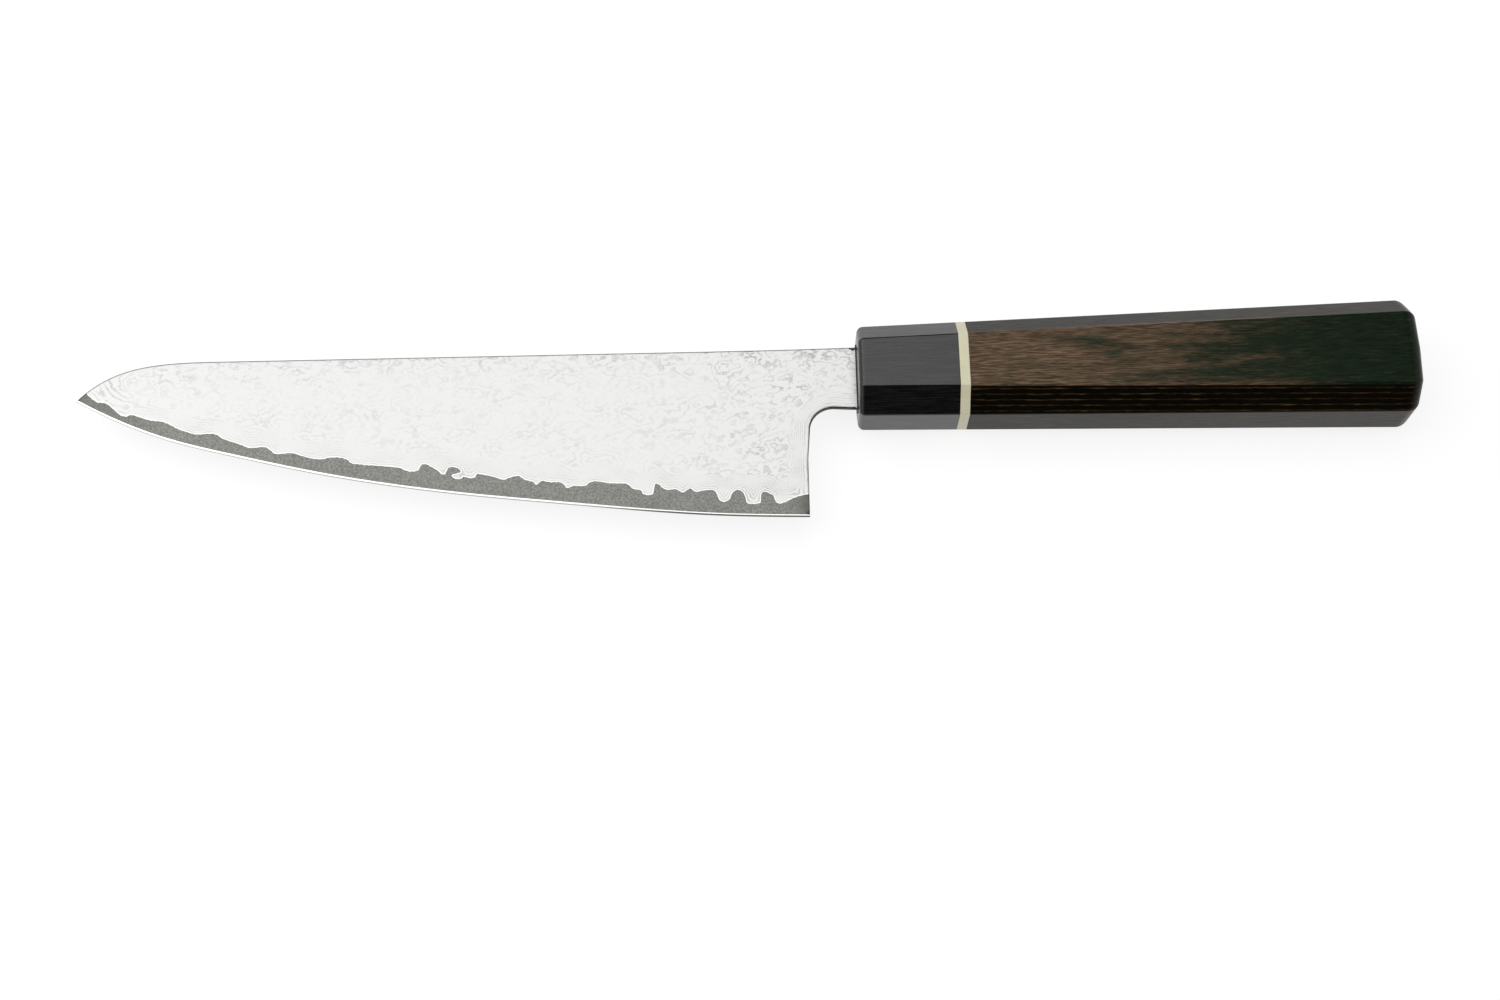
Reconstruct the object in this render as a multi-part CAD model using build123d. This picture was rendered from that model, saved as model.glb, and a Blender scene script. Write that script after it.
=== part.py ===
from build123d import *
import os

# Chef knife of the Japanese kind: a laminated steel blade with a hidden tang, set in an
# eight-sided handle. All sizes are in millimetres.
#
# The knife is drawn in its own knife frame: X runs from tip (-X) to butt (+X) with 0 at the
# ferrule's front face, Y runs from the cutting edge (-Y) to the spine (+Y), and Z is across
# the blade with 0 at its middle plane. At the end all parts move together, so that the knife
# lies on its side with the origin under the middle of its box.

# Blade outline
BLADE_LENGTH = 180.0          # tip to heel
NECK_LENGTH = 12.6            # heel to ferrule
SPINE_LEVEL = 7.5             # height of the straight spine
HEEL_LEVEL = -36.1            # height of the heel corner
TIP_LEVEL = -2.4
HEEL_X = -NECK_LENGTH
TIP_X = HEEL_X - BLADE_LENGTH
CHOIL_RADIUS = 5.8
NECK_BOTTOM = -8.0
NECK_BOTTOM_AT_FERRULE = -8.4
SPINE_AT_FERRULE = 7.85
SPINE_DROP_X = -160.0         # where the spine begins to fall to the tip
EDGE_STEP = BLADE_LENGTH / 9   # spacing of the heights below
EDGE_LEVELS = [-36.1, -35.35, -33.7, -31.5, -29.2, -26.3, -22.5, -17.7, -11.9, TIP_LEVEL]
PAST_TIP = 10.0               # how far the ground surfaces are drawn past the tip
PAST_TIP_LEVEL = 3.5
BELOW = 60.0                  # comfortably below the edge

# Blade section
SPINE_THICKNESS_HEEL = 2.0
SPINE_THICKNESS_TIP = 1.0
BEHIND_EDGE_THICKNESS = 0.34
MICRO_BEVEL_HEIGHT = 0.63
CORE_THICKNESS = 0.52

# Tang
NECK_INTO_FERRULE = 1.0
TANG_LENGTH = 88.0            # from the ferrule's front face
TANG_HALF_HEIGHT = 5.5
TANG_END_HALF_HEIGHT = 3.2
TANG_CORNER = 1.5

# Handle
FERRULE_LENGTH = 24.4
SPACER_LENGTH = 2.4
BODY_LENGTH = 110.0
HANDLE_LENGTH = FERRULE_LENGTH + SPACER_LENGTH + BODY_LENGTH
FRONT_THICKNESS = 21.1
BUTT_THICKNESS = 22.1
FRONT_HEIGHT = 23.5
BUTT_HEIGHT = 29.6
FRONT_CENTRE = -0.2           # height of the handle's centre line at the ferrule
BUTT_CENTRE = 1.0
BEVEL_LEG = 5.6               # each leg of the four 45 degree bevels
BUTT_ROUNDING = 3.8
FERRULE_ROUNDING = 1.5

# Inside the handle
FERRULE_WALL = 4.0            # solid front wall of the ferrule
DOWEL_RADIUS = 7.0
DOWEL_LENGTH = 94.0
GLUE_GAP = 0.05
DOWEL_LEVEL = 0.2
SLOT_THICKNESS = 2.7
SLOT_HEIGHT = 12.0
SLOT_LENGTH = 90.0            # from the ferrule's front face
MOUTH_GAP = 0.45              # between the neck and the recess it sits in
SEAL_PROUD = 0.3


def edge_line():
    """Places and heights of the cutting edge, evenly spaced from the heel to past the tip."""
    line = [(HEEL_X - EDGE_STEP * i, level) for i, level in enumerate(EDGE_LEVELS)]
    return line + [(TIP_X - PAST_TIP, PAST_TIP_LEVEL)]


def spine_half_thickness(x):
    """Half the spine's thickness, which tapers evenly from the heel to the tip."""
    along = min(max((HEEL_X - x) / BLADE_LENGTH, 0.0), 1.0)
    heel, tip = SPINE_THICKNESS_HEEL / 2, SPINE_THICKNESS_TIP / 2
    return heel + (tip - heel) * along


def wedge_section(x, edge_level):
    """The ground blade's section: a flat wedge that ends in a small steep bevel."""
    knee_level = edge_level + MICRO_BEVEL_HEIGHT
    knee = BEHIND_EDGE_THICKNESS / 2
    slope = (spine_half_thickness(x) - knee) / (SPINE_LEVEL - knee_level)
    top_level = SPINE_LEVEL + 2.0
    top = knee + slope * (top_level - knee_level)
    points = [
        (x, edge_level, 0),
        (x, knee_level, knee),
        (x, top_level, top),
        (x, top_level, -top),
        (x, knee_level, -knee),
    ]
    return make_face(Polyline(*points, close=True))


def blade_outline():
    """Side view of blade, neck and tang, left open below the cutting edge."""
    tip_run = Spline(
        (SPINE_DROP_X, SPINE_LEVEL),
        (-175.0, 6.6),
        (-185.0, 3.5),
        (TIP_X, TIP_LEVEL),
        (TIP_X - PAST_TIP / 2, -8.6),
        tangents=[(-1, 0), (-0.6, -0.8)],
    )
    neck_spine = Spline(
        (NECK_INTO_FERRULE, SPINE_AT_FERRULE),
        (-20.0, SPINE_LEVEL + 0.03),
        (-45.0, SPINE_LEVEL),
        tangents=[(-1, -0.02), (-1, 0)],
    )
    choil_x = HEEL_X + 0.6
    heel_back = Line((HEEL_X, -BELOW), (HEEL_X, HEEL_LEVEL + 15.0))
    heel_top = Line(heel_back @ 1, (choil_x, NECK_BOTTOM - CHOIL_RADIUS))
    neck_start = (choil_x + CHOIL_RADIUS, NECK_BOTTOM)
    choil = TangentArc(heel_top @ 1, neck_start, tangent=(0, 1))
    tang = Polyline(
        neck_start,
        (NECK_INTO_FERRULE, NECK_BOTTOM_AT_FERRULE),
        (NECK_INTO_FERRULE, -TANG_HALF_HEIGHT),
        (TANG_LENGTH, -TANG_END_HALF_HEIGHT),
        (TANG_LENGTH, TANG_END_HALF_HEIGHT),
        (NECK_INTO_FERRULE, TANG_HALF_HEIGHT),
        (NECK_INTO_FERRULE, SPINE_AT_FERRULE),
    )
    front = Polyline(tip_run @ 1, ((tip_run @ 1).X, -BELOW), (HEEL_X, -BELOW))
    straight = Line(neck_spine @ 1, tip_run @ 0)
    wire = Wire([*front.edges(), heel_back, heel_top, choil, *tang.edges(), neck_spine, straight, tip_run])
    return make_face(wire)


def make_blade():
    """The whole blade as one ground blank, before it is told apart into its layers."""
    ground = loft([wedge_section(x, level) for x, level in edge_line()])
    heel = wedge_section(HEEL_X, HEEL_LEVEL)
    shank = extrude(heel, amount=TANG_LENGTH + NECK_LENGTH + 1.0, dir=(1, 0, 0))
    blank = ground + shank
    outline = extrude(blade_outline(), amount=SPINE_THICKNESS_HEEL, both=True)
    blade = blank & outline
    ends = blade.edges().filter_by(Axis.Z).group_by(Axis.X)[-1]
    return fillet(ends, TANG_CORNER)


def slab(low, high):
    """A slab across the blade between two heights over its middle plane."""
    size = 3 * BLADE_LENGTH
    return Pos(0, 0, (low + high) / 2) * Box(size, size, high - low)


def make_core(blade):
    """The hard steel layer in the middle, which comes out along the edge."""
    half = CORE_THICKNESS / 2
    return blade & slab(-half, half)


def make_cladding(blade, side):
    """The patterned steel layer on one side of the core: side is 1 for left, -1 for right."""
    half = CORE_THICKNESS / 2
    low, high = sorted((side * half, side * SPINE_THICKNESS_HEEL))
    return blade & slab(low, high)


def make_handle_blank():
    """The tapered eight-sided bar that ferrule, spacer and body are parts of."""
    side_view = make_face(Polyline(
        (0, FRONT_CENTRE - FRONT_HEIGHT / 2),
        (HANDLE_LENGTH, BUTT_CENTRE - BUTT_HEIGHT / 2),
        (HANDLE_LENGTH, BUTT_CENTRE + BUTT_HEIGHT / 2),
        (0, FRONT_CENTRE + FRONT_HEIGHT / 2),
        close=True,
    ))
    top_view = make_face(Polyline(
        (0, 0, -FRONT_THICKNESS / 2),
        (HANDLE_LENGTH, 0, -BUTT_THICKNESS / 2),
        (HANDLE_LENGTH, 0, BUTT_THICKNESS / 2),
        (0, 0, FRONT_THICKNESS / 2),
        close=True,
    ))
    bar = extrude(side_view, amount=BUTT_THICKNESS, both=True)
    bar &= extrude(top_view, amount=BUTT_HEIGHT, both=True, dir=(0, 1, 0))
    corners = [e for e in bar.edges() if abs(e.tangent_at(0.5).X) > 0.9]
    return chamfer(corners, BEVEL_LEG)


def cut_length(bar, start, end):
    """The stretch of the handle bar between two places along it."""
    size = 4 * BUTT_HEIGHT
    return bar & Pos((start + end) / 2, 0, 0) * Box(end - start, size, size)


def rod(radius, start, end):
    """A round rod along the handle, on the dowel's axis."""
    middle = Pos((start + end) / 2, DOWEL_LEVEL, 0)
    return middle * Rot(0, 90, 0) * Cylinder(radius, end - start)


def slot_block():
    """The slot that the tang slides into, from the ferrule's face to behind the tang."""
    middle = Pos(SLOT_LENGTH / 2, 0, 0)
    return middle * Box(SLOT_LENGTH, SLOT_HEIGHT, SLOT_THICKNESS)


def mouth_block(proud):
    """The shallow recess in the ferrule's face round the neck, with a rim that stands proud."""
    high = SPINE_AT_FERRULE + MOUTH_GAP
    low = NECK_BOTTOM_AT_FERRULE - MOUTH_GAP
    length = NECK_INTO_FERRULE + proud
    thickness = SPINE_THICKNESS_HEEL + 2 * MOUTH_GAP
    middle = Pos((NECK_INTO_FERRULE - proud) / 2, (high + low) / 2, 0)
    return middle * Box(length, high - low, thickness)


def bore(clearance):
    """The blind round bore through ferrule and spacer into the handle's body."""
    return rod(DOWEL_RADIUS + clearance, FERRULE_WALL, FERRULE_WALL + DOWEL_LENGTH + 1.0)


def make_ferrule(bar):
    """The black front piece, with a slot for the tang and a bore for the dowel."""
    blank = cut_length(bar, 0, FERRULE_LENGTH)
    front = blank.faces().sort_by(Axis.X)[0]
    rounded = fillet(front.edges(), FERRULE_ROUNDING)
    return rounded - mouth_block(0) - slot_block() - bore(GLUE_GAP)


def make_spacer(bar):
    """The pale ring between the ferrule and the body."""
    return cut_length(bar, FERRULE_LENGTH, FERRULE_LENGTH + SPACER_LENGTH) - bore(GLUE_GAP)


def make_body(bar):
    """The laminated wood grip with its blind bore."""
    bored = cut_length(bar, FERRULE_LENGTH + SPACER_LENGTH, HANDLE_LENGTH) - bore(GLUE_GAP)
    butt = bored.faces().sort_by(Axis.X)[-1]
    return fillet(butt.edges(), BUTT_ROUNDING)


def make_dowel():
    """The round rod that holds the handle's pieces in line and grips the tang in its slot."""
    return rod(DOWEL_RADIUS, FERRULE_WALL, FERRULE_WALL + DOWEL_LENGTH) - slot_block()


def make_tang_epoxy(blade):
    """The set epoxy that fills the slot round the tang."""
    behind_mouth = slot_block() - mouth_block(0)
    return behind_mouth - blade


def make_mouth_seal(blade):
    """The dark bead round the neck where it enters the ferrule."""
    return mouth_block(SEAL_PROUD) - blade


def build_parts():
    """Every node's solid in the knife frame."""
    blade = make_blade()
    bar = make_handle_blank()
    return {
        "blade_core": make_core(blade),
        "cladding_left": make_cladding(blade, 1),
        "cladding_right": make_cladding(blade, -1),
        "ferrule": make_ferrule(bar),
        "spacer_ring": make_spacer(bar),
        "handle_body": make_body(bar),
        "dowel": make_dowel(),
        "tang_epoxy": make_tang_epoxy(blade),
        "mouth_seal": make_mouth_seal(blade),
    }


def lay_down(parts):
    """Move all parts together so that the origin is under the middle of the knife's box."""
    box = Compound(children=[part.solids()[0] for part in parts.values()]).bounding_box()
    middle = box.center()
    return {name: Pos(-middle.X, -middle.Y, -box.min.Z) * part for name, part in parts.items()}


os.makedirs("parts", exist_ok=True)
for name, part in lay_down(build_parts()).items():
    export_step(part, f"parts/{name}.step")
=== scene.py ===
"""Looks of a laminated chef knife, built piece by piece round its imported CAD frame.

Every piece is in metres and in the frame's own axes: the knife lies on its right side, +X runs
from tip to butt, +Y from cutting edge to spine, and +Z comes up through the blade's left face.
"""

import logging
import math
from dataclasses import dataclass
from enum import Enum

import bmesh
import bpy
import numpy as np
from mathutils import Matrix, Vector
from mathutils.geometry import delaunay_2d_cdt


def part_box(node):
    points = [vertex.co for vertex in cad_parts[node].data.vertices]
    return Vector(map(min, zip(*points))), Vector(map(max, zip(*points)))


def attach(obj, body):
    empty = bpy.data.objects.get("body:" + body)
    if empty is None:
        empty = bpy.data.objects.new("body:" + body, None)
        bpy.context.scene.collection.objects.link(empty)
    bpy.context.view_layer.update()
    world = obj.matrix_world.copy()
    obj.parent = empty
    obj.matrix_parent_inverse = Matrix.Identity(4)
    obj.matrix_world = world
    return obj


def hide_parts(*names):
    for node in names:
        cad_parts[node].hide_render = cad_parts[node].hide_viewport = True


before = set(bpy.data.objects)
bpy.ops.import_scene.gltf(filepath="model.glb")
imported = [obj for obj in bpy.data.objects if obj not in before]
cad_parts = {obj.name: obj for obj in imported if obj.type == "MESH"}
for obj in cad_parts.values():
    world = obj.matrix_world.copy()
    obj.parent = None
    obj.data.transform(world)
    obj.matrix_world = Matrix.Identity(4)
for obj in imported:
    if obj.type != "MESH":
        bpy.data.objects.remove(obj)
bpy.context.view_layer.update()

MM = 0.001
LOG = logging.getLogger("chef_knife")
BODY = "root"
# Sockets of a Mix node that is set to colours, by number because their names repeat
SHARE, COLOUR_A, COLOUR_B, MIXED = 0, 6, 7, 2


class Side(Enum):
    """The two faces of the blade, by the sign of their direction along Z."""

    LEFT = 1
    RIGHT = -1


# ---------------------------------------------------------------------------- small helpers


def linear_colour(hex_code: str) -> tuple[float, float, float, float]:
    """Turn an sRGB hex colour into the linear colour that a shader socket takes.

    Args:
        hex_code: Six hex digits, such as "8c8c88".

    Returns:
        Linear red, green and blue, and an alpha of 1.
    """
    channels = [int(hex_code[i:i + 2], 16) / 255 for i in (0, 2, 4)]
    linear = [c / 12.92 if c <= 0.04045 else ((c + 0.055) / 1.055) ** 2.4 for c in channels]
    return (*linear, 1.0)


def add_node(
    tree: bpy.types.NodeTree,
    kind: str,
    inputs: dict | None = None,
    **settings: object,
) -> bpy.types.Node:
    """Add a node, set its properties, and give each named input a value or a link.

    Args:
        tree: The shader or geometry tree.
        kind: The node's type name.
        inputs: Input name or number to what it gets: a socket, a node for its first output, a
            list of these, or a plain value.
        **settings: Properties of the node itself.

    Returns:
        The new node.
    """
    node = tree.nodes.new(kind)
    for name, value in settings.items():
        setattr(node, name, value)
    for key, value in (inputs or {}).items():
        for source in value if isinstance(value, list) else [value]:
            if isinstance(source, bpy.types.Node):
                source = source.outputs[0]
            if isinstance(source, bpy.types.NodeSocket):
                tree.links.new(source, node.inputs[key])
            else:
                node.inputs[key].default_value = source
    return node


def blank_material(name: str) -> tuple[bpy.types.Material, bpy.types.NodeTree]:
    """Make a material with an empty tree.

    Args:
        name: The material's name.

    Returns:
        The material and its tree.
    """
    material = bpy.data.materials.new(name)
    material.use_nodes = True
    material.node_tree.nodes.clear()
    return material, material.node_tree


def add_surface(tree: bpy.types.NodeTree, inputs: dict) -> None:
    """Close a material's tree with its Principled shader and its output.

    Args:
        tree: The material's tree.
        inputs: What the shader's sockets get, as add_node takes them.
    """
    shader = add_node(tree, "ShaderNodeBsdfPrincipled", inputs)
    add_node(tree, "ShaderNodeOutputMaterial", {"Surface": shader})


@dataclass(frozen=True)
class Grain:
    """An uneven natural pattern, by how many of its cells fit in a millimetre along X, Y and Z."""

    cells: tuple[float, float, float]
    detail: float = 2.0
    roughness: float = 0.5
    distortion: float = 0.0

    def add(self, tree: bpy.types.NodeTree) -> bpy.types.NodeSocket:
        """Add the pattern to a material, laid on its piece's own coordinates.

        Args:
            tree: The material's tree.

        Returns:
            The pattern's level, from 0 to 1.
        """
        place = add_node(tree, "ShaderNodeTexCoord").outputs["Object"]
        cells = tuple(count / MM for count in self.cells)
        laid = add_node(tree, "ShaderNodeMapping", {"Vector": place, "Scale": cells})
        pattern = add_node(tree, "ShaderNodeTexNoise",
                           {"Vector": laid, "Scale": 1.0, "Detail": self.detail,
                            "Roughness": self.roughness, "Distortion": self.distortion})
        return pattern.outputs["Fac"]


class NaturalCurve:
    """A cubic curve y(x) through given points, smooth to its second derivative."""

    def __init__(self, points: list[tuple[float, float]], start_slope: float | None = None) -> None:
        """Solve for the slope at each point.

        Args:
            points: Points in any order.
            start_slope: Slope at the point of highest x, or None to leave it free.
        """
        self.x, self.y = np.array(sorted(points)).T
        count = len(self.x)
        gap = np.diff(self.x)
        rise = np.diff(self.y) / gap
        system = np.zeros((count, count))
        target = np.zeros(count)
        for i in range(1, count - 1):
            system[i, i - 1:i + 2] = 1 / gap[i - 1], 2 / gap[i - 1] + 2 / gap[i], 1 / gap[i]
            target[i] = 3 * (rise[i - 1] / gap[i - 1] + rise[i] / gap[i])
        system[0, :2] = 2, 1
        target[0] = 3 * rise[0]
        if start_slope is None:
            system[-1, -2:] = 1, 2
            target[-1] = 3 * rise[-1]
        else:
            system[-1, -1] = 1
            target[-1] = start_slope
        self.slope = np.linalg.solve(system, target)

    def __call__(self, x: np.ndarray) -> np.ndarray:
        """Read the curve.

        Args:
            x: Places along it.

        Returns:
            The curve's height at each place.
        """
        x = np.asarray(x, float)
        i = np.clip(np.searchsorted(self.x, x) - 1, 0, len(self.x) - 2)
        gap = self.x[i + 1] - self.x[i]
        t = (x - self.x[i]) / gap
        return (
            self.y[i] * (1 + 2 * t) * (1 - t) ** 2
            + self.slope[i] * gap * t * (1 - t) ** 2
            + self.y[i + 1] * t ** 2 * (3 - 2 * t)
            - self.slope[i + 1] * gap * t ** 2 * (1 - t)
        )


def rounded_line(points: np.ndarray, steps: int) -> np.ndarray:
    """Pass a smooth line through points, with some steps between each two.

    Args:
        points: Points of the line, one row each.
        steps: Steps from one point to the next.

    Returns:
        The denser points, which include the given ones.
    """
    padded = np.vstack([2 * points[0] - points[1], points, 2 * points[-1] - points[-2]])
    rows = []
    for a, b, c, d in zip(padded, padded[1:], padded[2:], padded[3:]):
        for t in np.arange(steps) / steps:
            rows.append(0.5 * (2 * b + (c - a) * t + (2 * a - 5 * b + 4 * c - d) * t ** 2
                               + (3 * b - a - 3 * c + d) * t ** 3))
    return np.array([*rows, points[-1]])


def distance_to(points: np.ndarray, line: np.ndarray) -> np.ndarray:
    """Shortest distance from each point to a line of straight runs.

    Args:
        points: Points, one row each.
        line: The line's points.

    Returns:
        One distance for each point.
    """
    best = np.full(len(points), np.inf)
    for start, run in zip(line[:-1], np.diff(line, axis=0)):
        along = np.clip(((points - start) @ run) / max(run @ run, 1e-12), 0, 1)
        gap = points - start - along[:, None] * run
        best = np.minimum(best, np.einsum("ij,ij->i", gap, gap))
    return np.sqrt(best)


def ease(values: np.ndarray, start: float, end: float) -> np.ndarray:
    """Rise smoothly from 0 at start to 1 at end."""
    share = np.clip((values - start) / (end - start), 0, 1)
    return share * share * (3 - 2 * share)


def is_inside(points: np.ndarray, loop: np.ndarray) -> np.ndarray:
    """Say which points lie inside a closed loop.

    Args:
        points: Points, one row each.
        loop: The loop's corners, without the first one repeated.

    Returns:
        A true or false for each point.
    """
    x, y = points.T
    inside = np.zeros(len(points), bool)
    for (ax, ay), (bx, by) in zip(loop, np.roll(loop, -1, axis=0)):
        crosses = (ay > y) != (by > y)
        with np.errstate(divide="ignore", invalid="ignore"):
            at = ax + (y - ay) * (bx - ax) / (by - ay)
        inside ^= crosses & (x < at)
    return inside


def swell(values: np.ndarray, width: float) -> np.ndarray:
    """Fall smoothly from 1 at nothing to almost nothing at twice the width."""
    return np.exp(-((values / width) ** 2))


def inward(line: np.ndarray) -> np.ndarray:
    """Find which way lies to the right of a line's direction.

    Args:
        line: The line's points, one row each.

    Returns:
        A unit vector for each point.
    """
    run = np.gradient(line, axis=0)
    side = np.column_stack([run[:, 1], -run[:, 0]])
    return side / np.maximum(np.linalg.norm(side, axis=1, keepdims=True), 1e-12)


def store(mesh: bpy.types.Mesh, name: str, values: np.ndarray) -> None:
    """Keep one number for each vertex, for the piece's material to read."""
    layer = mesh.attributes.new(name, "FLOAT", "POINT")
    layer.data.foreach_set("value", np.asarray(values, np.float32))


def weigh_normals(mesh: bpy.types.Mesh, limit: float) -> None:
    """Shade small roundings smooth and leave broad flats flat, by weighing normals by area.

    Args:
        mesh: The mesh to shade.
        limit: Faces that turn further than this angle from each other don't blend.
    """
    mesh.shade_smooth()
    count = len(mesh.polygons)
    normals, areas = np.zeros(count * 3), np.zeros(count)
    mesh.polygons.foreach_get("normal", normals)
    mesh.polygons.foreach_get("area", areas)
    normals = normals.reshape(-1, 3)
    users: list[list[int]] = [[] for _ in mesh.vertices]
    for face in mesh.polygons:
        for corner in face.vertices:
            users[corner].append(face.index)
    blended = []
    for face in mesh.polygons:
        own = normals[face.index]
        for corner in face.vertices:
            near = [f for f in users[corner] if normals[f] @ own > math.cos(limit)]
            total = (normals[near] * areas[near, None]).sum(axis=0) if near else own
            blended.append(Vector(total).normalized())
    mesh.normals_split_custom_set(blended)


def dress_node(node: str, material: bpy.types.Material) -> None:
    """Give a carried CAD node its material, without touching its mesh.

    Args:
        node: The node's name.
        material: The finish.
    """
    piece = bpy.data.objects[node]
    for slot in piece.material_slots:
        slot.material = material
    LOG.info("%s: dressed as %s", node, material.name)


def finish_piece(piece: bpy.types.Object, slot: str, *nodes: str) -> bpy.types.Object:
    """Let a piece ride on the knife, and stand for its CAD nodes with their finish.

    Args:
        piece: The finished mesh object.
        slot: The record's material slot; not used.
        *nodes: The CAD nodes that the piece replaces.

    Returns:
        The same piece.
    """
    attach(piece, BODY)
    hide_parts(*nodes)
    triangles = sum(len(p.vertices) - 2 for p in piece.data.polygons)
    LOG.info("%s: %d triangles, stands for %s", piece.name, triangles, ", ".join(nodes))
    return piece


# ---------------------------------------------------------------------------- where the knife is


@dataclass(frozen=True)
class KnifeFrame:
    """The knife's own zero in the frame: ferrule face, bore level and blade middle plane."""

    front: float
    level: float
    middle: float

    @classmethod
    def from_cad(cls, heel_level: float) -> "KnifeFrame":
        """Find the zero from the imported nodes.

        Args:
            heel_level: The heel corner's height in the knife's own axes.

        Returns:
            The knife's frame.
        """
        core_low, core_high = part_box("blade_core")
        ferrule_low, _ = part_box("ferrule")
        return cls(ferrule_low.x, core_low.y - heel_level, (core_low.z + core_high.z) / 2)

    def origin(self) -> Vector:
        """The knife's zero as a point of the frame."""
        return Vector((self.front, self.level, self.middle))


# ---------------------------------------------------------------------------- finishes: steel


def add_back_shade(
    tree: bpy.types.NodeTree,
    colour: bpy.types.NodeSocket,
    back_shade_colour: str,
) -> bpy.types.NodeSocket:
    """Paint shade on the steel along the blade's eased backs, by the attribute back from 0 to 1.

    Args:
        tree: The material's tree.
        colour: The steel's colour away from the backs.
        back_shade_colour: Hex colour of the painted shade, the dark that the eased backs would reflect.

    Returns:
        The mixed colour.
    """
    back = add_node(tree, "ShaderNodeAttribute", attribute_name="back").outputs["Fac"]
    speck = Grain((0.8, 0.8, 3.0), detail=3.0).add(tree)
    uneven = add_node(tree, "ShaderNodeMapRange", {"Value": speck, "To Min": 0.7, "To Max": 1.15})
    amount = add_node(tree, "ShaderNodeMath", {0: back, 1: uneven}, operation="MULTIPLY")
    mixed = add_node(tree, "ShaderNodeMix",
                     {SHARE: amount, COLOUR_A: colour, COLOUR_B: linear_colour(back_shade_colour)},
                     data_type="RGBA")
    return mixed.outputs[MIXED]


@dataclass(frozen=True)
class EtchedLayeredSteel:
    """Two stainless steels forge-welded in thin layers, ground, blasted and acid-etched.

    The eye gets a pale satin surface with fine grey contour lines where the grind cuts through
    the hammered layers. A bright line where the layers meet the core is a painted highlight, as
    though the cladding's edge stood proud there and caught the light. The eased backs get painted
    shade, the dark that they would reflect.
    """

    pale: str = "b8b8b7"
    line: str = "8e8e8c"
    # Colour of the painted highlight along the seam where the cladding meets the core
    rim: str = "cfcfce"
    # Colour of the painted shade along the eased backs, where they would reflect the dark room
    scale: str = "1c1c1b"
    swirl: Grain = Grain((0.11, 0.11 * 1.5, 1.0))
    ripple: Grain = Grain((0.55, 0.55 * 1.3, 1.0), detail=4.0, roughness=0.6)
    patch: Grain = Grain((0.13, 0.20, 0.6), detail=4.0, roughness=0.6)
    grain: Grain = Grain((5.0, 5.0, 5.0))
    roughness: float = 0.30

    def build(self) -> bpy.types.Material:
        """Make the material; it reads the attributes flow, calm, bite, seam and back.

        Returns:
            The material.
        """
        material, tree = blank_material("etched_layered_stainless_steel")
        flow, calm, bite, seam = (add_node(tree, "ShaderNodeAttribute", attribute_name=name).outputs["Fac"]
                                  for name in ("flow", "calm", "bite", "seam"))
        # Hammering bends the layers over several millimetres, and wrinkles them under a millimetre
        bend = add_node(tree, "ShaderNodeMath", {0: calm, 1: 16.0}, operation="MULTIPLY")
        bent = add_node(tree, "ShaderNodeMath", {0: self.swirl.add(tree), 1: bend, 2: flow},
                        operation="MULTIPLY_ADD")
        wrinkle = add_node(tree, "ShaderNodeMath", {0: calm, 1: 3.4, 2: 2.0}, operation="MULTIPLY_ADD")
        level = add_node(tree, "ShaderNodeMath", {0: self.ripple.add(tree), 1: wrinkle, 2: bent},
                         operation="MULTIPLY_ADD")
        wave = add_node(tree, "ShaderNodeMath", {0: level, 1: 1.0}, operation="PINGPONG")
        stripe = add_node(tree, "ShaderNodeMapRange", {"Value": wave, "From Min": 0.45, "From Max": 0.95},
                          interpolation_type="SMOOTHSTEP")
        # The etch bites in patches
        patchy = add_node(tree, "ShaderNodeMapRange",
                          {"Value": self.patch.add(tree), "From Min": 0.42, "From Max": 0.66,
                           "To Min": 0.12, "To Max": 0.60})
        strength = add_node(tree, "ShaderNodeMath", {0: patchy, 1: bite}, operation="MULTIPLY")
        amount = add_node(tree, "ShaderNodeMath", {0: stripe, 1: strength}, operation="MULTIPLY")
        layered = add_node(tree, "ShaderNodeMix",
                           {SHARE: amount, COLOUR_A: linear_colour(self.pale),
                            COLOUR_B: linear_colour(self.line)},
                           data_type="RGBA")
        # Painted highlight: the cladding brightens towards the seam where it meets the core
        rim = add_node(tree, "ShaderNodeMapRange",
                       {"Value": seam, "From Min": 0.10, "From Max": 0.35, "To Min": 1.0, "To Max": 0.0},
                       interpolation_type="SMOOTHSTEP")
        colour = add_node(tree, "ShaderNodeMix",
                          {SHARE: rim, COLOUR_A: layered.outputs[MIXED], COLOUR_B: linear_colour(self.rim)},
                          data_type="RGBA")
        grain = self.grain.add(tree)
        rough = add_node(tree, "ShaderNodeMapRange",
                         {"Value": grain, "To Min": self.roughness - 0.04, "To Max": self.roughness + 0.05})
        duller = add_node(tree, "ShaderNodeMath", {0: amount, 1: 0.10, 2: rough}, operation="MULTIPLY_ADD")
        relief = add_node(tree, "ShaderNodeMath", {0: grain, 1: 0.35, 2: amount}, operation="MULTIPLY_ADD")
        bump = add_node(tree, "ShaderNodeBump", {"Height": relief, "Strength": 0.25, "Distance": 0.02 * MM},
                        invert=True)
        shaded = add_back_shade(tree, colour.outputs[MIXED], self.scale)
        add_surface(tree, {"Base Color": shaded, "Metallic": 1.0, "Roughness": duller, "Normal": bump})
        return material


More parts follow.
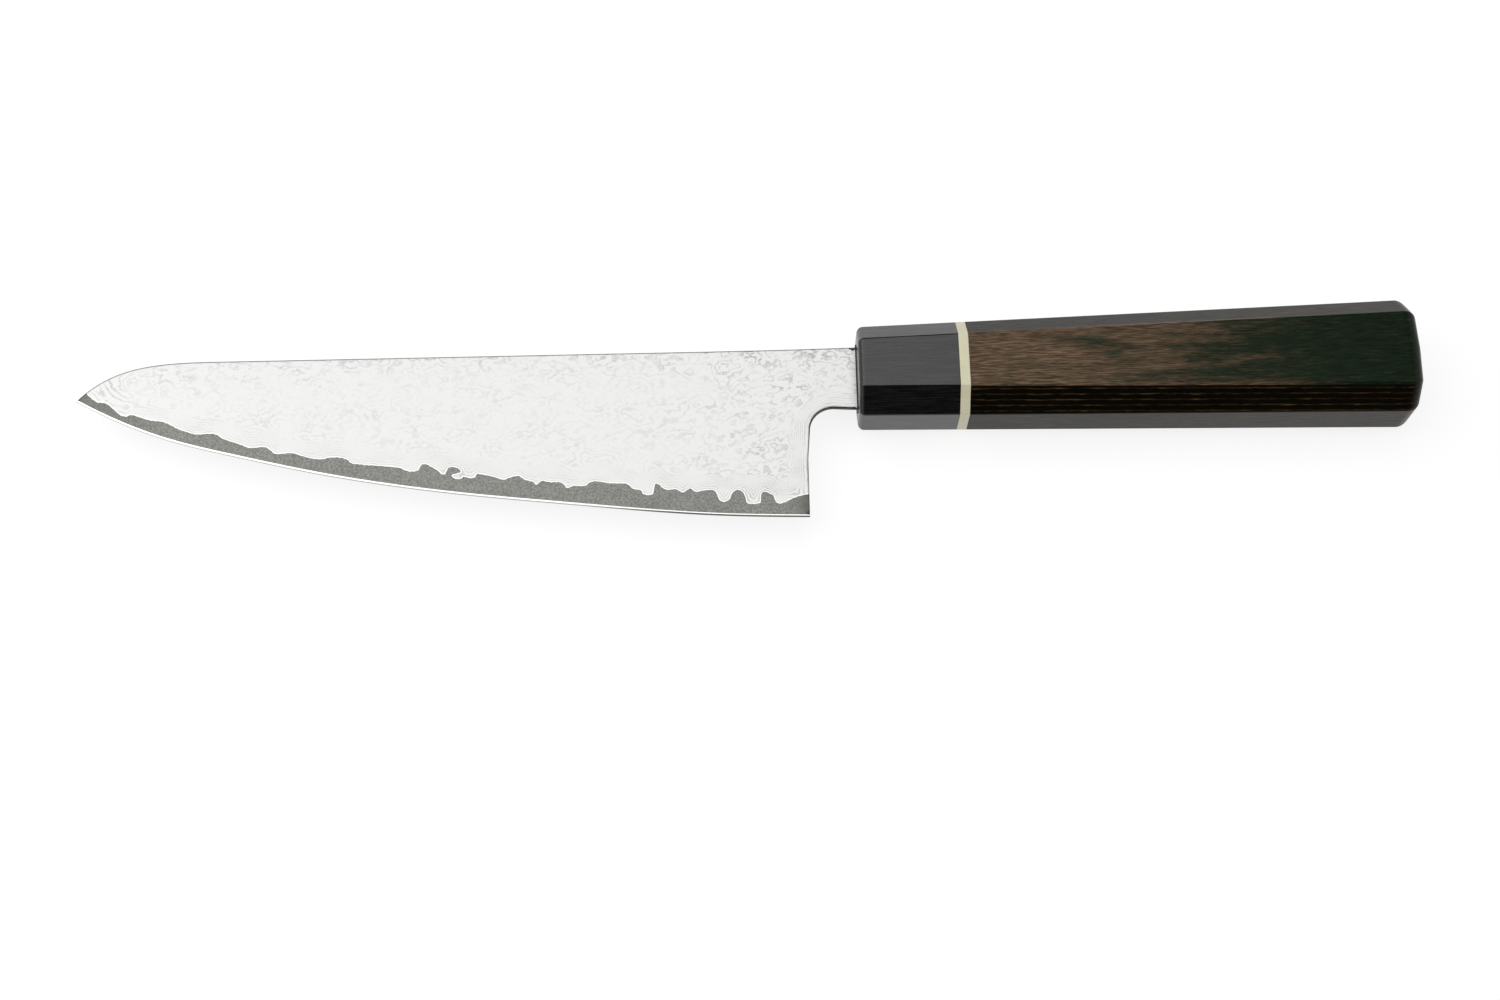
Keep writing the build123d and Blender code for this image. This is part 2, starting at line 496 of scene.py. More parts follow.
@dataclass(frozen=True)
class EtchedCoreSteel:
    """High-carbon stainless core, hardened, ground and etched.

    The acid turns it a matt mid grey with a fine speckle, darker at the very tip and heel. The
    real carbide speckle is a few hundredths of a millimetre, and it is drawn at 0.4 mm to show.
    """

    grey: str = "868783"
    spots: str = "60615c"
    dark: str = "565752"
    # Colour of the painted shade along the eased backs, where they would reflect the dark room
    scale: str = "1c1c1b"
    speck: Grain = Grain((2.2, 2.2, 2.2), detail=5.0, roughness=0.75)
    cloud: Grain = Grain((0.12, 0.35, 0.25))
    roughness: float = 0.42

    def build(self) -> bpy.types.Material:
        """Make the material; it reads the attributes shade and back, from 0 to 1.

        Returns:
            The material.
        """
        material, tree = blank_material("etched_core_steel")
        shade = add_node(tree, "ShaderNodeAttribute", attribute_name="shade").outputs["Fac"]
        speck = self.speck.add(tree)
        spread = add_node(tree, "ShaderNodeMapRange", {"Value": speck, "From Min": 0.38, "From Max": 0.62})
        mottled = add_node(tree, "ShaderNodeMix",
                           {SHARE: spread, COLOUR_A: linear_colour(self.grey),
                            COLOUR_B: linear_colour(self.spots)},
                           data_type="RGBA")
        drift = add_node(tree, "ShaderNodeMath", {0: self.cloud.add(tree), 1: 0.35, 2: shade},
                         operation="MULTIPLY_ADD")
        colour = add_node(tree, "ShaderNodeMix",
                          {SHARE: drift, COLOUR_A: mottled.outputs[MIXED],
                           COLOUR_B: linear_colour(self.dark)},
                          data_type="RGBA")
        rough = add_node(tree, "ShaderNodeMapRange",
                         {"Value": speck, "To Min": self.roughness - 0.06, "To Max": self.roughness + 0.08})
        bump = add_node(tree, "ShaderNodeBump", {"Height": speck, "Strength": 0.3, "Distance": 0.02 * MM})
        shaded = add_back_shade(tree, colour.outputs[MIXED], self.scale)
        add_surface(tree, {"Base Color": shaded, "Metallic": 1.0, "Roughness": rough, "Normal": bump})
        return material


@dataclass(frozen=True)
class HonedEdgeSteel:
    """The core steel where stones and a strop made the edge.

    A bright line with hone marks along it, and a thin dark line along the cutting edge, broader
    near the heel, which is painted shade: the dark that the rounded apex would reflect. The hone
    lines of a 3000 grit stone are microns wide, and they are drawn at 0.15 mm to show.
    """

    bright: str = "e2e3e2"
    worn: str = "cccdcb"
    # Colour of the painted shade along the rounded apex of the edge
    apex_shade: str = "4c4c49"
    hone: Grain = Grain((0.6, 7.0, 7.0), detail=3.0)
    roughness: float = 0.22

    def build(self) -> bpy.types.Material:
        """Make the material; it reads roll, above 0 on the line of painted shade at the apex, and
        burnish, how dark that painted shade is.

        Returns:
            The material.
        """
        material, tree = blank_material("honed_edge_steel")
        lines = self.hone.add(tree)
        honed = add_node(tree, "ShaderNodeMix",
                         {SHARE: lines, COLOUR_A: linear_colour(self.bright),
                          COLOUR_B: linear_colour(self.worn)},
                         data_type="RGBA")
        # Painted shade: a thin dark line along the apex, darker near the heel
        roll = add_node(tree, "ShaderNodeAttribute", attribute_name="roll").outputs["Fac"]
        apex_shade = add_node(tree, "ShaderNodeMapRange", {"Value": roll, "From Min": -0.06, "From Max": 0.06},
                          interpolation_type="SMOOTHSTEP")
        burnish = add_node(tree, "ShaderNodeAttribute", attribute_name="burnish").outputs["Fac"]
        dark = add_node(tree, "ShaderNodeMath", {0: apex_shade, 1: burnish}, operation="MULTIPLY")
        colour = add_node(tree, "ShaderNodeMix",
                          {SHARE: dark, COLOUR_A: honed.outputs[MIXED], COLOUR_B: linear_colour(self.apex_shade)},
                          data_type="RGBA")
        rough = add_node(tree, "ShaderNodeMapRange",
                         {"Value": lines, "To Min": self.roughness - 0.05, "To Max": self.roughness + 0.07})
        add_surface(tree, {"Base Color": colour.outputs[MIXED], "Metallic": 1.0, "Roughness": rough})
        return material


# ---------------------------------------------------------------------------- finishes: handle


@dataclass(frozen=True)
class LaminatedWood:
    """Dyed hardwood veneers pressed with resin, ground to eight sides and buffed.

    Broad flame grain shows on the side facets, where one brown veneer runs out into a dark green
    one towards the butt. The bevels cut across the stack and show it as fine dark lines. The
    figure is long wavy flames, the pores are a few millimetres long, and fibre runs between them.
    """

    veneer_mm: float = 1.25
    outer_veneer: float = 10.82
    soaked_run: tuple[float, float] = (88.0, 118.0)
    brown: str = "342a1e"
    brown_light: str = "6d5746"
    green: str = "0c1a11"
    green_light: str = "2a3324"
    black: str = "040301"
    streak: str = "5c4428"
    sheen: str = "f6eecb"
    figure: Grain = Grain((0.055, 0.30, 0.30), detail=3.0, distortion=0.6)
    pores: Grain = Grain((0.20, 2.4, 2.4), detail=4.0, roughness=0.65, distortion=0.3)
    fibre: Grain = Grain((0.30, 4.2, 4.2))
    roughness: float = 0.32
    specular: float = 0.15

    def build(self) -> bpy.types.Material:
        """Make the material; it reads the attributes across and run, both in millimetres.

        Returns:
            The material.
        """
        material, tree = blank_material("laminated_dyed_wood")
        across = add_node(tree, "ShaderNodeAttribute", attribute_name="across").outputs["Fac"]
        run = add_node(tree, "ShaderNodeAttribute", attribute_name="run").outputs["Fac"]
        out = add_node(tree, "ShaderNodeMath", {0: across}, operation="ABSOLUTE")
        ply = add_node(tree, "ShaderNodeMath", {0: out, 1: self.outer_veneer}, operation="SUBTRACT")
        pores, fibre = self.pores.add(tree), self.fibre.add(tree)
        streak = add_node(tree, "ShaderNodeMapRange", {"Value": pores, "From Min": 0.36, "From Max": 0.66})
        face = self.add_face(tree, ply, run, pores, streak)
        # Under the outer veneers the stack alternates, and most of it is dyed nearly black
        turn = add_node(tree, "ShaderNodeMath", {0: ply, 1: 2.4 / self.veneer_mm, 2: 0.3},
                        operation="MULTIPLY_ADD")
        stack = add_node(tree, "ShaderNodeMath", {0: fibre, 1: 1.1, 2: turn}, operation="MULTIPLY_ADD")
        pulse = add_node(tree, "ShaderNodeMath", {0: stack, 1: 1.0}, operation="PINGPONG")
        thin = add_node(tree, "ShaderNodeMapRange",
                        {"Value": pulse, "From Min": 0.78, "From Max": 1.0, "To Max": 0.8},
                        interpolation_type="SMOOTHSTEP")
        broken = add_node(tree, "ShaderNodeMath", {0: thin, 1: streak}, operation="MULTIPLY")
        stacked = add_node(tree, "ShaderNodeMix",
                           {SHARE: broken, COLOUR_A: linear_colour(self.black),
                            COLOUR_B: linear_colour(self.streak)}, data_type="RGBA")
        inner = add_node(tree, "ShaderNodeMapRange",
                         {"Value": ply, "From Min": -0.45 * self.veneer_mm,
                          "From Max": -0.30 * self.veneer_mm}, interpolation_type="SMOOTHSTEP")
        wood = add_node(tree, "ShaderNodeMix",
                        {SHARE: inner, COLOUR_A: stacked.outputs[MIXED], COLOUR_B: face}, data_type="RGBA")
        darker = add_node(tree, "ShaderNodeMapRange",
                          {"Value": fibre, "From Min": 0.35, "From Max": 0.65, "To Min": 0.5, "To Max": 1.45})
        toned = add_node(tree, "ShaderNodeVectorMath", {0: wood.outputs[MIXED], 1: darker},
                         operation="MULTIPLY")
        rough = add_node(tree, "ShaderNodeMapRange",
                         {"Value": pores, "From Min": 0.3, "From Max": 0.7,
                          "To Min": self.roughness + 0.08, "To Max": self.roughness - 0.06})
        bump = add_node(tree, "ShaderNodeBump", {"Height": pores, "Strength": 0.35, "Distance": 0.05 * MM})
        add_surface(tree, {"Base Color": toned, "Roughness": rough, "Normal": bump,
                           "Specular IOR Level": self.specular,
                           "Specular Tint": linear_colour(self.sheen)})
        return material

    def add_face(
        self,
        tree: bpy.types.NodeTree,
        ply: bpy.types.Node,
        run: bpy.types.NodeSocket,
        pores: bpy.types.NodeSocket,
        streak: bpy.types.Node,
    ) -> bpy.types.NodeSocket:
        """Colour the two outer veneers, brown under dark green, that the side facets show.

        Args:
            tree: The material's tree.
            ply: Depth across the stack, from the glue line between the two veneers.
            run: Distance from the ferrule's face along the handle.
            pores: The pores' pattern.
            streak: How light the brown is.

        Returns:
            The veneers' colour.
        """
        # The glue line between two veneers wanders, so the green comes in as wisps
        warp = add_node(tree, "ShaderNodeMath", {0: self.figure.add(tree), 1: 0.5}, operation="SUBTRACT")
        grain_warp = add_node(tree, "ShaderNodeMath", {0: pores, 1: 0.5}, operation="SUBTRACT")
        warped = add_node(tree, "ShaderNodeMath", {0: warp, 1: 0.55, 2: ply}, operation="MULTIPLY_ADD")
        shifted = add_node(tree, "ShaderNodeMath", {0: grain_warp, 1: 0.85, 2: warped},
                           operation="MULTIPLY_ADD")
        green_ply = add_node(tree, "ShaderNodeMapRange",
                             {"Value": shifted, "From Min": -0.12, "From Max": 0.12},
                             interpolation_type="SMOOTHSTEP")
        # The dye soaked in from the butt, so close to it the veneer under the green is dark too
        start, full = self.soaked_run
        soaked = add_node(tree, "ShaderNodeMapRange", {"Value": run, "From Min": start, "From Max": full})
        outer = add_node(tree, "ShaderNodeMath", {0: green_ply, 1: soaked}, operation="MAXIMUM")
        brown = add_node(tree, "ShaderNodeMix",
                         {SHARE: streak, COLOUR_A: linear_colour(self.brown),
                          COLOUR_B: linear_colour(self.brown_light)}, data_type="RGBA")
        fleck = add_node(tree, "ShaderNodeMapRange", {"Value": pores, "From Min": 0.55, "From Max": 0.72})
        green = add_node(tree, "ShaderNodeMix",
                         {SHARE: fleck, COLOUR_A: linear_colour(self.green),
                          COLOUR_B: linear_colour(self.green_light)}, data_type="RGBA")
        face = add_node(tree, "ShaderNodeMix",
                        {SHARE: outer, COLOUR_A: brown.outputs[MIXED], COLOUR_B: green.outputs[MIXED]},
                        data_type="RGBA")
        return face.outputs[MIXED]


@dataclass(frozen=True)
class SandedResin:
    """Cast resin that was sanded along its length and lightly buffed: satin, with fine lines.

    Sanding lines of 800 grit are about 0.02 mm apart, and they are drawn at 0.3 mm to show.
    """

    name: str
    colour: str
    tone: str
    roughness: float
    specular: float
    cloud: float
    sanding: Grain = Grain((0.12, 3.2, 3.2), detail=3.0, roughness=0.7)

    def build(self) -> bpy.types.Material:
        """Make the material.

        Returns:
            The material.
        """
        material, tree = blank_material(self.name)
        lines = self.sanding.add(tree)
        cloud = Grain((self.cloud, self.cloud, self.cloud), detail=3.0).add(tree)
        blend = add_node(tree, "ShaderNodeMath", {0: lines, 1: cloud}, operation="MULTIPLY")
        spread = add_node(tree, "ShaderNodeMapRange", {"Value": blend, "From Min": 0.12, "From Max": 0.42})
        colour = add_node(tree, "ShaderNodeMix",
                          {SHARE: spread, COLOUR_A: linear_colour(self.colour),
                           COLOUR_B: linear_colour(self.tone)}, data_type="RGBA")
        rough = add_node(tree, "ShaderNodeMapRange",
                         {"Value": lines, "From Min": 0.3, "From Max": 0.7,
                          "To Min": self.roughness - 0.10, "To Max": self.roughness + 0.14})
        bump = add_node(tree, "ShaderNodeBump", {"Height": lines, "Strength": 0.5, "Distance": 0.03 * MM})
        add_surface(tree, {"Base Color": colour.outputs[MIXED], "Roughness": rough, "Normal": bump,
                           "Specular IOR Level": self.specular})
        return material


BLACK_FERRULE = SandedResin("sanded_black_resin", "010101", "080808", 0.27, 0.60, 0.14)
IVORY_RING = SandedResin("buffed_ivory_resin", "c5c1a2", "cfcab0", 0.34, 0.4, 0.3)
# The mouth seal is black epoxy, and its black also stands in for the shade where the neck enters the
# ferrule's slot
MOUTH_SEAL_AND_SHADE = SandedResin("black_fillet_and_painted_shade", "060606", "101010", 0.35, 0.4, 0.9)
DOWEL_BIRCH = SandedResin("turned_birch", "b08a58", "c9a878", 0.6, 0.3, 0.2)
TANG_EPOXY = SandedResin("set_epoxy", "b79a56", "c8b070", 0.3, 0.5, 0.5)


# ---------------------------------------------------------------------------- blade


@dataclass
class Blade:
    """The three-layer blade: its ground shape, its forged core line and its pieces.

    Lengths are in millimetres in the knife's own axes while it is drawn: X from the ferrule's
    face with the blade on -X, height from the tang's middle with the edge on -Y.
    """

    length: float = 180.0
    neck: float = 12.6
    edge_step: float = 20.0
    edge_levels: tuple[float, ...] = (-36.1, -35.35, -33.7, -31.5, -29.2, -26.3, -22.5, -17.7, -11.9, -2.4)
    past_tip: tuple[float, float] = (10.0, 3.5)
    spine_level: float = 7.5
    spine_points: tuple[tuple[float, float], ...] = (
        (-160.0, 7.5), (-175.0, 6.6), (-185.0, 3.5), (-192.6, -2.4), (-197.6, -8.6))
    spine_at_ferrule: float = 7.85
    spine_rise_from: float = -45.0
    neck_bottom: tuple[float, float] = (-8.0, -8.4)
    choil_radius: float = 5.8
    choil_back: float = 0.6
    heel_straight: float = 15.0
    neck_end: float = 1.0
    tang: tuple[float, float, float] = (88.0, 5.5, 3.2)
    half_spine: tuple[float, float] = (1.0, 0.5)
    half_behind_edge: float = 0.17
    bevel_height: float = 0.63
    half_core: float = 0.26
    easing: float = 0.22
    grid: float = 0.9
    back_step: float = 0.7
    feather_slope: float = 0.12
    layers_per_mm: tuple[float, float, float] = (2.2, 2.0, 1.7)
    swirl_centre: tuple[float, float] = (15.5, 3.4)
    # Mean height of the forged line at some distances from the heel
    seam_trend: tuple[tuple[float, float], ...] = ((0.0, 5.6), (40.0, 5.6), (160.0, 3.6), (177.2, 3.0))
    # Distance from the heel and height above the edge of the line where the core comes out
    forged_line: tuple[tuple[float, float], ...] = (
        (0.0, 5.9), (3.4, 5.0), (5.4, 4.0), (7.0, 3.4), (8.0, 3.7), (8.7, 5.3), (9.6, 5.9), (11.0, 6.4),
        (11.7, 5.4), (11.8, 3.8), (12.5, 3.3), (14.2, 3.2), (15.2, 3.5), (15.5, 4.9), (16.1, 6.1),
        (17.2, 6.7), (18.5, 6.0), (19.3, 4.3), (20.6, 3.5), (21.7, 3.9), (22.5, 5.6), (23.3, 6.4),
        (25.5, 6.2), (27.4, 5.7), (28.2, 6.2), (29.0, 6.5), (29.9, 5.8), (30.8, 5.4), (32.3, 6.1),
        (34.4, 5.8), (35.6, 6.3), (36.5, 7.1), (37.3, 7.0), (37.6, 5.6), (37.9, 4.5), (39.0, 4.1),
        (40.2, 4.3), (40.8, 5.2), (42.6, 5.4), (43.6, 6.2), (44.6, 6.6), (48.0, 6.4), (52.0, 6.5),
        (53.4, 5.9), (54.4, 5.1), (57.0, 4.9), (58.5, 4.2), (59.4, 4.9), (60.3, 5.5), (63.0, 5.3),
        (64.7, 5.5), (65.5, 4.9), (66.3, 4.2), (66.9, 5.0), (69.0, 5.4), (70.3, 6.2), (71.5, 6.0),
        (72.8, 5.5), (74.2, 4.9), (76.4, 5.4), (79.0, 5.7), (80.6, 5.7), (81.1, 4.8), (82.4, 4.5),
        (83.7, 4.7), (84.3, 4.2), (85.4, 3.9), (86.5, 4.2), (86.7, 4.8), (85.6, 5.3), (84.6, 5.8),
        (84.9, 6.5), (86.2, 6.9), (87.5, 6.6), (88.0, 5.6), (88.4, 4.8), (89.2, 4.7), (90.0, 5.4),
        (91.4, 6.1), (93.2, 6.8), (94.4, 6.2), (94.9, 5.0), (96.7, 4.4), (98.3, 4.6), (99.6, 5.0),
        (103.0, 4.9), (106.9, 4.5), (109.4, 4.4), (111.2, 4.3), (112.2, 5.0), (113.8, 5.3),
        (116.5, 4.9), (118.4, 4.1), (121.0, 3.8), (125.8, 4.1), (128.5, 3.4), (130.2, 3.1),
        (131.5, 3.9), (132.9, 4.2), (136.4, 3.2), (139.0, 3.6), (142.9, 4.0), (144.3, 4.6),
        (145.8, 4.7), (148.5, 3.9), (150.4, 3.5), (154.4, 3.8), (156.5, 4.3), (158.4, 4.4),
        (160.5, 3.9), (162.7, 3.6), (165.8, 3.4), (167.2, 2.4), (168.6, 2.1), (170.2, 2.7),
        (172.0, 3.4), (173.4, 3.2), (174.5, 2.7), (176.0, 2.9), (177.2, 3.3))

    def __post_init__(self) -> None:
        """Work out the curves and corners that the sizes give."""
        self.heel_x = -self.neck
        self.tip_x = self.heel_x - self.length
        stations = [(self.heel_x - self.edge_step * i, y) for i, y in enumerate(self.edge_levels)]
        past, past_level = self.past_tip
        self.edge = NaturalCurve([*stations, (self.tip_x - past, past_level)])
        self.tip_spine = NaturalCurve(list(self.spine_points), start_slope=0.0)
        self.knife = KnifeFrame.from_cad(self.edge_levels[0] * MM)
        self.seams = {side: self.seam(side) for side in Side}
        self.outline = self.draw_outline()

    # -- the side view

    def spine_height(self, x: np.ndarray) -> np.ndarray:
        """Find the spine, flat as far as the place where it starts to fall to the tip.

        Args:
            x: Places along the blade.

        Returns:
            The spine's height at each place.
        """
        fall_x = self.spine_points[0][0]
        share = np.clip((x - self.spine_rise_from) / (self.neck_end - self.spine_rise_from), 0, 1)
        rise = share ** 3 * (self.spine_at_ferrule - self.spine_level)
        return np.where(x < fall_x, self.tip_spine(x), self.spine_level + rise)

    def seam(self, side: Side) -> np.ndarray:
        """The line where cladding gives way to bare core, from the heel's back to the spine.

        Args:
            side: The face. The right face's line is the left one's turned end for end.

        Returns:
            Points of the line, both ends on the outline.
        """
        away, above = np.array(self.forged_line).T
        if side is Side.RIGHT:
            trend_at, trend = np.array(self.seam_trend).T
            waves = (above - np.interp(away, trend_at, trend))[::-1]
            away = (away[-1] - away)[::-1]
            above = np.interp(away, trend_at, trend) + waves
        dense = rounded_line(np.column_stack([away, above]), 5)
        # A fine tremor, because the weld line is never quite smooth
        inner = dense[1:-1, 0]
        dense[1:-1, 1] += 0.05 * np.sin(inner * 5.1) + 0.04 * np.sin(inner * 8.7 + side.value)
        x = self.heel_x - dense[:, 0]
        line = np.column_stack([x, self.edge(x) + dense[:, 1]])
        below_spine = line[:, 1] < self.spine_height(line[:, 0]) - 0.25
        line = line[: len(line) if below_spine.all() else int(np.argmin(below_spine))]
        end_x = line[-1, 0] - 0.3
        return np.vstack([line, [end_x, float(self.spine_height(np.array(end_x)))]])

    def draw_outline(self) -> dict[str, np.ndarray]:
        """Draw the side view clockwise from the heel corner.

        Returns:
            The runs edge, back_top, tang and back_bottom, which follow each other in a loop.
        """
        edge_x = np.linspace(self.heel_x, self.tip_x, 181)
        edge = np.column_stack([edge_x, self.edge(edge_x)])
        edge[-1] = self.tip_x, self.spine_height(np.array(self.tip_x))
        ends = [self.seams[side][-1, 0] for side in Side]
        fall_x = self.spine_points[0][0]
        turn = np.linspace(0, 1, 60)[1:]
        top_x = np.concatenate([self.tip_x + (fall_x - self.tip_x) * turn ** 1.5, ends,
                                np.arange(fall_x + 1, 0.0, 1.0), [self.neck_end]])
        top_x = np.unique(np.round(top_x, 6))
        back_top = np.column_stack([top_x, self.spine_height(top_x)])
        reach, root, end = self.tang
        tang = np.array([(self.neck_end, root), (reach - 1.0, end), (reach, end - 1.0),
                         (reach, 1.0 - end), (reach - 1.0, -end), (self.neck_end, -root),
                         (self.neck_end, self.neck_bottom[1])])
        choil_x = self.heel_x + self.choil_back
        low, radius = self.neck_bottom[0], self.choil_radius
        angle = np.linspace(math.pi / 2, math.pi, 17)
        choil = np.column_stack([choil_x + radius + radius * np.cos(angle),
                                 low - radius + radius * np.sin(angle)])
        neck_x = np.linspace(self.neck_end - 1.0, choil[0, 0], 7)[:-1]
        share = (neck_x - choil[0, 0]) / (self.neck_end - choil[0, 0])
        neck = np.column_stack([neck_x, low + (self.neck_bottom[1] - low) * share])
        heel_level = self.edge_levels[0]
        seam_levels = [self.seams[side][0, 1] for side in Side]
        levels = np.arange(heel_level + self.back_step, choil[-1, 1] - 0.5, self.back_step)
        levels = np.unique(np.round(np.concatenate([levels, seam_levels]), 6))[::-1]
        straight = heel_level + self.heel_straight
        lean = np.clip((levels - straight) / (choil[-1, 1] - straight), 0, 1)
        heel_back = np.column_stack([self.heel_x + self.choil_back * lean, levels])
        return {"edge": edge, "back_top": back_top, "tang": tang,
                "back_bottom": np.vstack([neck, choil, heel_back])}

    # -- the thickness

    def half_thickness(self, points: np.ndarray) -> np.ndarray:
        """Half the blade's thickness, with its backs eased, at points of the side view.

        Args:
            points: Places in the side view.

        Returns:
            One half thickness for each, nothing on the cutting edge.
        """
        x = np.minimum(points[:, 0], self.heel_x)
        edge = self.edge(x)
        above = np.maximum(points[:, 1] - edge, 0.0)
        taper = np.clip((self.heel_x - x) / self.length, 0, 1)
        heel, tip = self.half_spine
        spine = heel + (tip - heel) * taper
        slope = (spine - self.half_behind_edge) / (self.spine_level - edge - self.bevel_height)
        flat = self.half_behind_edge + slope * (above - self.bevel_height)
        bevel = self.half_behind_edge * above / self.bevel_height
        ground = np.where(above < self.bevel_height, bevel, flat)
        backs = np.minimum(distance_to(points, self.outline["back_top"]),
                           distance_to(points, self.outline["back_bottom"]))
        backs = np.where(points[:, 0] > 0.0, self.easing, backs)
        radius = np.minimum(self.easing, 0.6 * ground)
        rest = np.maximum(radius - backs, 0.0)
        return ground - radius + np.sqrt(np.maximum(radius ** 2 - rest ** 2, 0.0))

    def cladding_depth(self, half: np.ndarray, from_seam: np.ndarray) -> np.ndarray:
        """How thick the cladding is over the core, which it meets in a feather edge.

        Args:
            half: Half thickness of the blade.
            from_seam: Distance from the forged line.

        Returns:
            Thickness of the cladding on one side.
        """
        full = np.maximum(half - self.half_core, 0.35 * half)
        return np.minimum(self.feather_slope * from_seam, full)

    # -- meshes

    def net(self, side: Side) -> tuple[np.ndarray, np.ndarray]:
        """Cut one face's side view into triangles that follow the seam, knee and eased backs.

        Args:
            side: The face.

        Returns:
            Points of the net and its triangles, anticlockwise.
        """
        runs, seam = self.outline, self.seams[side]
        loop = np.vstack(list(runs.values()))
        knee_x = np.linspace(self.heel_x - 0.15, self.tip_x + 0.9, 179)
        lines = [seam, np.column_stack([knee_x, self.edge(knee_x) + self.bevel_height])]
        for name in ("back_top", "back_bottom"):
            run = runs[name][2:-2]
            run = run[(run[:, 0] < 0) & (run[:, 1] > self.edge(run[:, 0]) + 1.4)]
            for share in (0.12, 0.45, 1.0, 2.0):
                lines.append(run + inward(run) * self.easing * share)
        wide = np.mgrid[self.tip_x:0.5:self.grid, -37.0:9.0:self.grid].reshape(2, -1).T
        wide[:, 1] += (np.round((wide[:, 0] - self.tip_x) / self.grid) % 2) * self.grid / 2
        tang = np.mgrid[2.0:self.tang[0]:3.0, -5.0:6.0:2.0].reshape(2, -1).T
        free = np.vstack([wide, tang])
        # Beside the seam the free points keep to rows of their own, so the feather edge is even
        shoulder = np.vstack([seam[1:-1] + inward(seam)[1:-1] * gap for gap in (-0.9, -0.45, 0.45)])
        rim = np.vstack([loop, loop[:1]])
        far = np.min([distance_to(free, line) for line in [*lines, rim]], axis=0) > 0.4
        free = free[is_inside(free, loop) & far & (distance_to(free, seam) > 1.2)]
        far = np.min([distance_to(shoulder, line) for line in [*lines, rim]], axis=0) > 0.3
        free = np.vstack([free, shoulder[is_inside(shoulder, loop) & far]])
        points, edges = [loop], [(i, (i + 1) % len(loop)) for i in range(len(loop))]
        count = len(loop)
        for line in lines:
            points.append(line)
            edges += [(count + i, count + i + 1) for i in range(len(line) - 1)]
            count += len(line)
        points.append(free)
        flat = [Vector(p) for p in np.vstack(points)]
        found, _, faces, *_ = delaunay_2d_cdt(flat, edges, [], 0, 1e-5)
        net = np.array([tuple(v) for v in found])
        faces = np.array([f for f in faces if len(f) == 3])
        middles = net[faces].mean(axis=1)
        return net, faces[is_inside(middles, loop)]

    def bare_core(self, points: np.ndarray, side: Side) -> np.ndarray:
        """Say which points of a face lie below the forged line, where the core is bare.

        Args:
            points: Places in the side view.
            side: The face.

        Returns:
            A true or false for each point.
        """
        seam = self.seams[side]
        below = -60.0
        ahead, behind = self.tip_x - 12.0, self.heel_x + 6.0
        region = np.vstack([seam, [(ahead, seam[-1, 1]), (ahead, below), (behind, below),
                                   (behind, seam[0, 1])]])
        return is_inside(points, region)

    def solid(self, name: str, sheets: list[tuple], finishes: list[bpy.types.Material]) -> bpy.types.Object:
        """Join triangulated sheets and the walls round them into one closed mesh.

        Args:
            name: The piece's name.
            sheets: For each sheet its points, triangles, height, foot height and sign along Z.
            finishes: The piece's materials, in slot order.

        Returns:
            The piece, in place in the frame.
        """
        build = bmesh.new()
        for points, faces, height, foot, sign in sheets:
            top = [build.verts.new((x, y, sign * z)) for (x, y), z in zip(points, height)]
            bottom = [build.verts.new((x, y, sign * z)) for (x, y), z in zip(points, foot)]
            for corners in faces.tolist():
                build.faces.new([top[i] for i in corners])
            if np.any(foot):
                for corners in faces.tolist():
                    build.faces.new([bottom[i] for i in reversed(corners)])
            sides = dict.fromkeys(edge for a, b, c in faces.tolist() for edge in ((a, b), (b, c), (c, a)))
            for a, b in sides:
                if (b, a) not in sides:
                    build.faces.new((bottom[a], bottom[b], top[b], top[a]))
        bmesh.ops.delete(build, geom=[v for v in build.verts if not v.link_faces], context="VERTS")
        bmesh.ops.remove_doubles(build, verts=build.verts, dist=1e-5)
        bmesh.ops.dissolve_degenerate(build, edges=build.edges, dist=1e-6)
        bmesh.ops.triangulate(build, faces=[f for f in build.faces if len(f.verts) > 3])
        bmesh.ops.recalc_face_normals(build, faces=build.faces)
        open_edges = sum(1 for e in build.edges if len(e.link_faces) != 2)
        mesh = bpy.data.meshes.new(name)
        build.to_mesh(mesh)
        build.free()
        if open_edges:
            LOG.warning("%s: %d edges aren't closed", name, open_edges)
        for finish in finishes:
            mesh.materials.append(finish)
        piece = bpy.data.objects.new(name, mesh)
        bpy.context.scene.collection.objects.link(piece)
        return piece

    def mark_creases(self, mesh: bpy.types.Mesh, on_seam: np.ndarray) -> None:
        """Keep the knee of the edge and the seam crisp, and all else smooth.

        Args:
            mesh: The piece's mesh, still in millimetres in the knife's axes.
            on_seam: True for each vertex that lies on the seam.
        """
        spots = np.array([v.co for v in mesh.vertices])
        on_knee = np.abs(spots[:, 1] - self.edge(spots[:, 0]) - self.bevel_height) < 2e-3
        mesh.shade_smooth()
        mesh.set_sharp_from_angle(angle=math.radians(35))
        sharp = mesh.attributes.get("sharp_edge") or mesh.attributes.new("sharp_edge", "BOOLEAN", "EDGE")
        for edge in mesh.edges:
            a, b = edge.vertices
            if (on_knee[a] and on_knee[b]) or (on_seam[a] and on_seam[b]):
                sharp.data[edge.index].value = True

    def place(self, piece: bpy.types.Object) -> None:
        """Turn a drawn piece from millimetres in the knife's axes to metres in the frame."""
        piece.data.transform(Matrix.Translation(self.knife.origin()) @ Matrix.Scale(MM, 4))

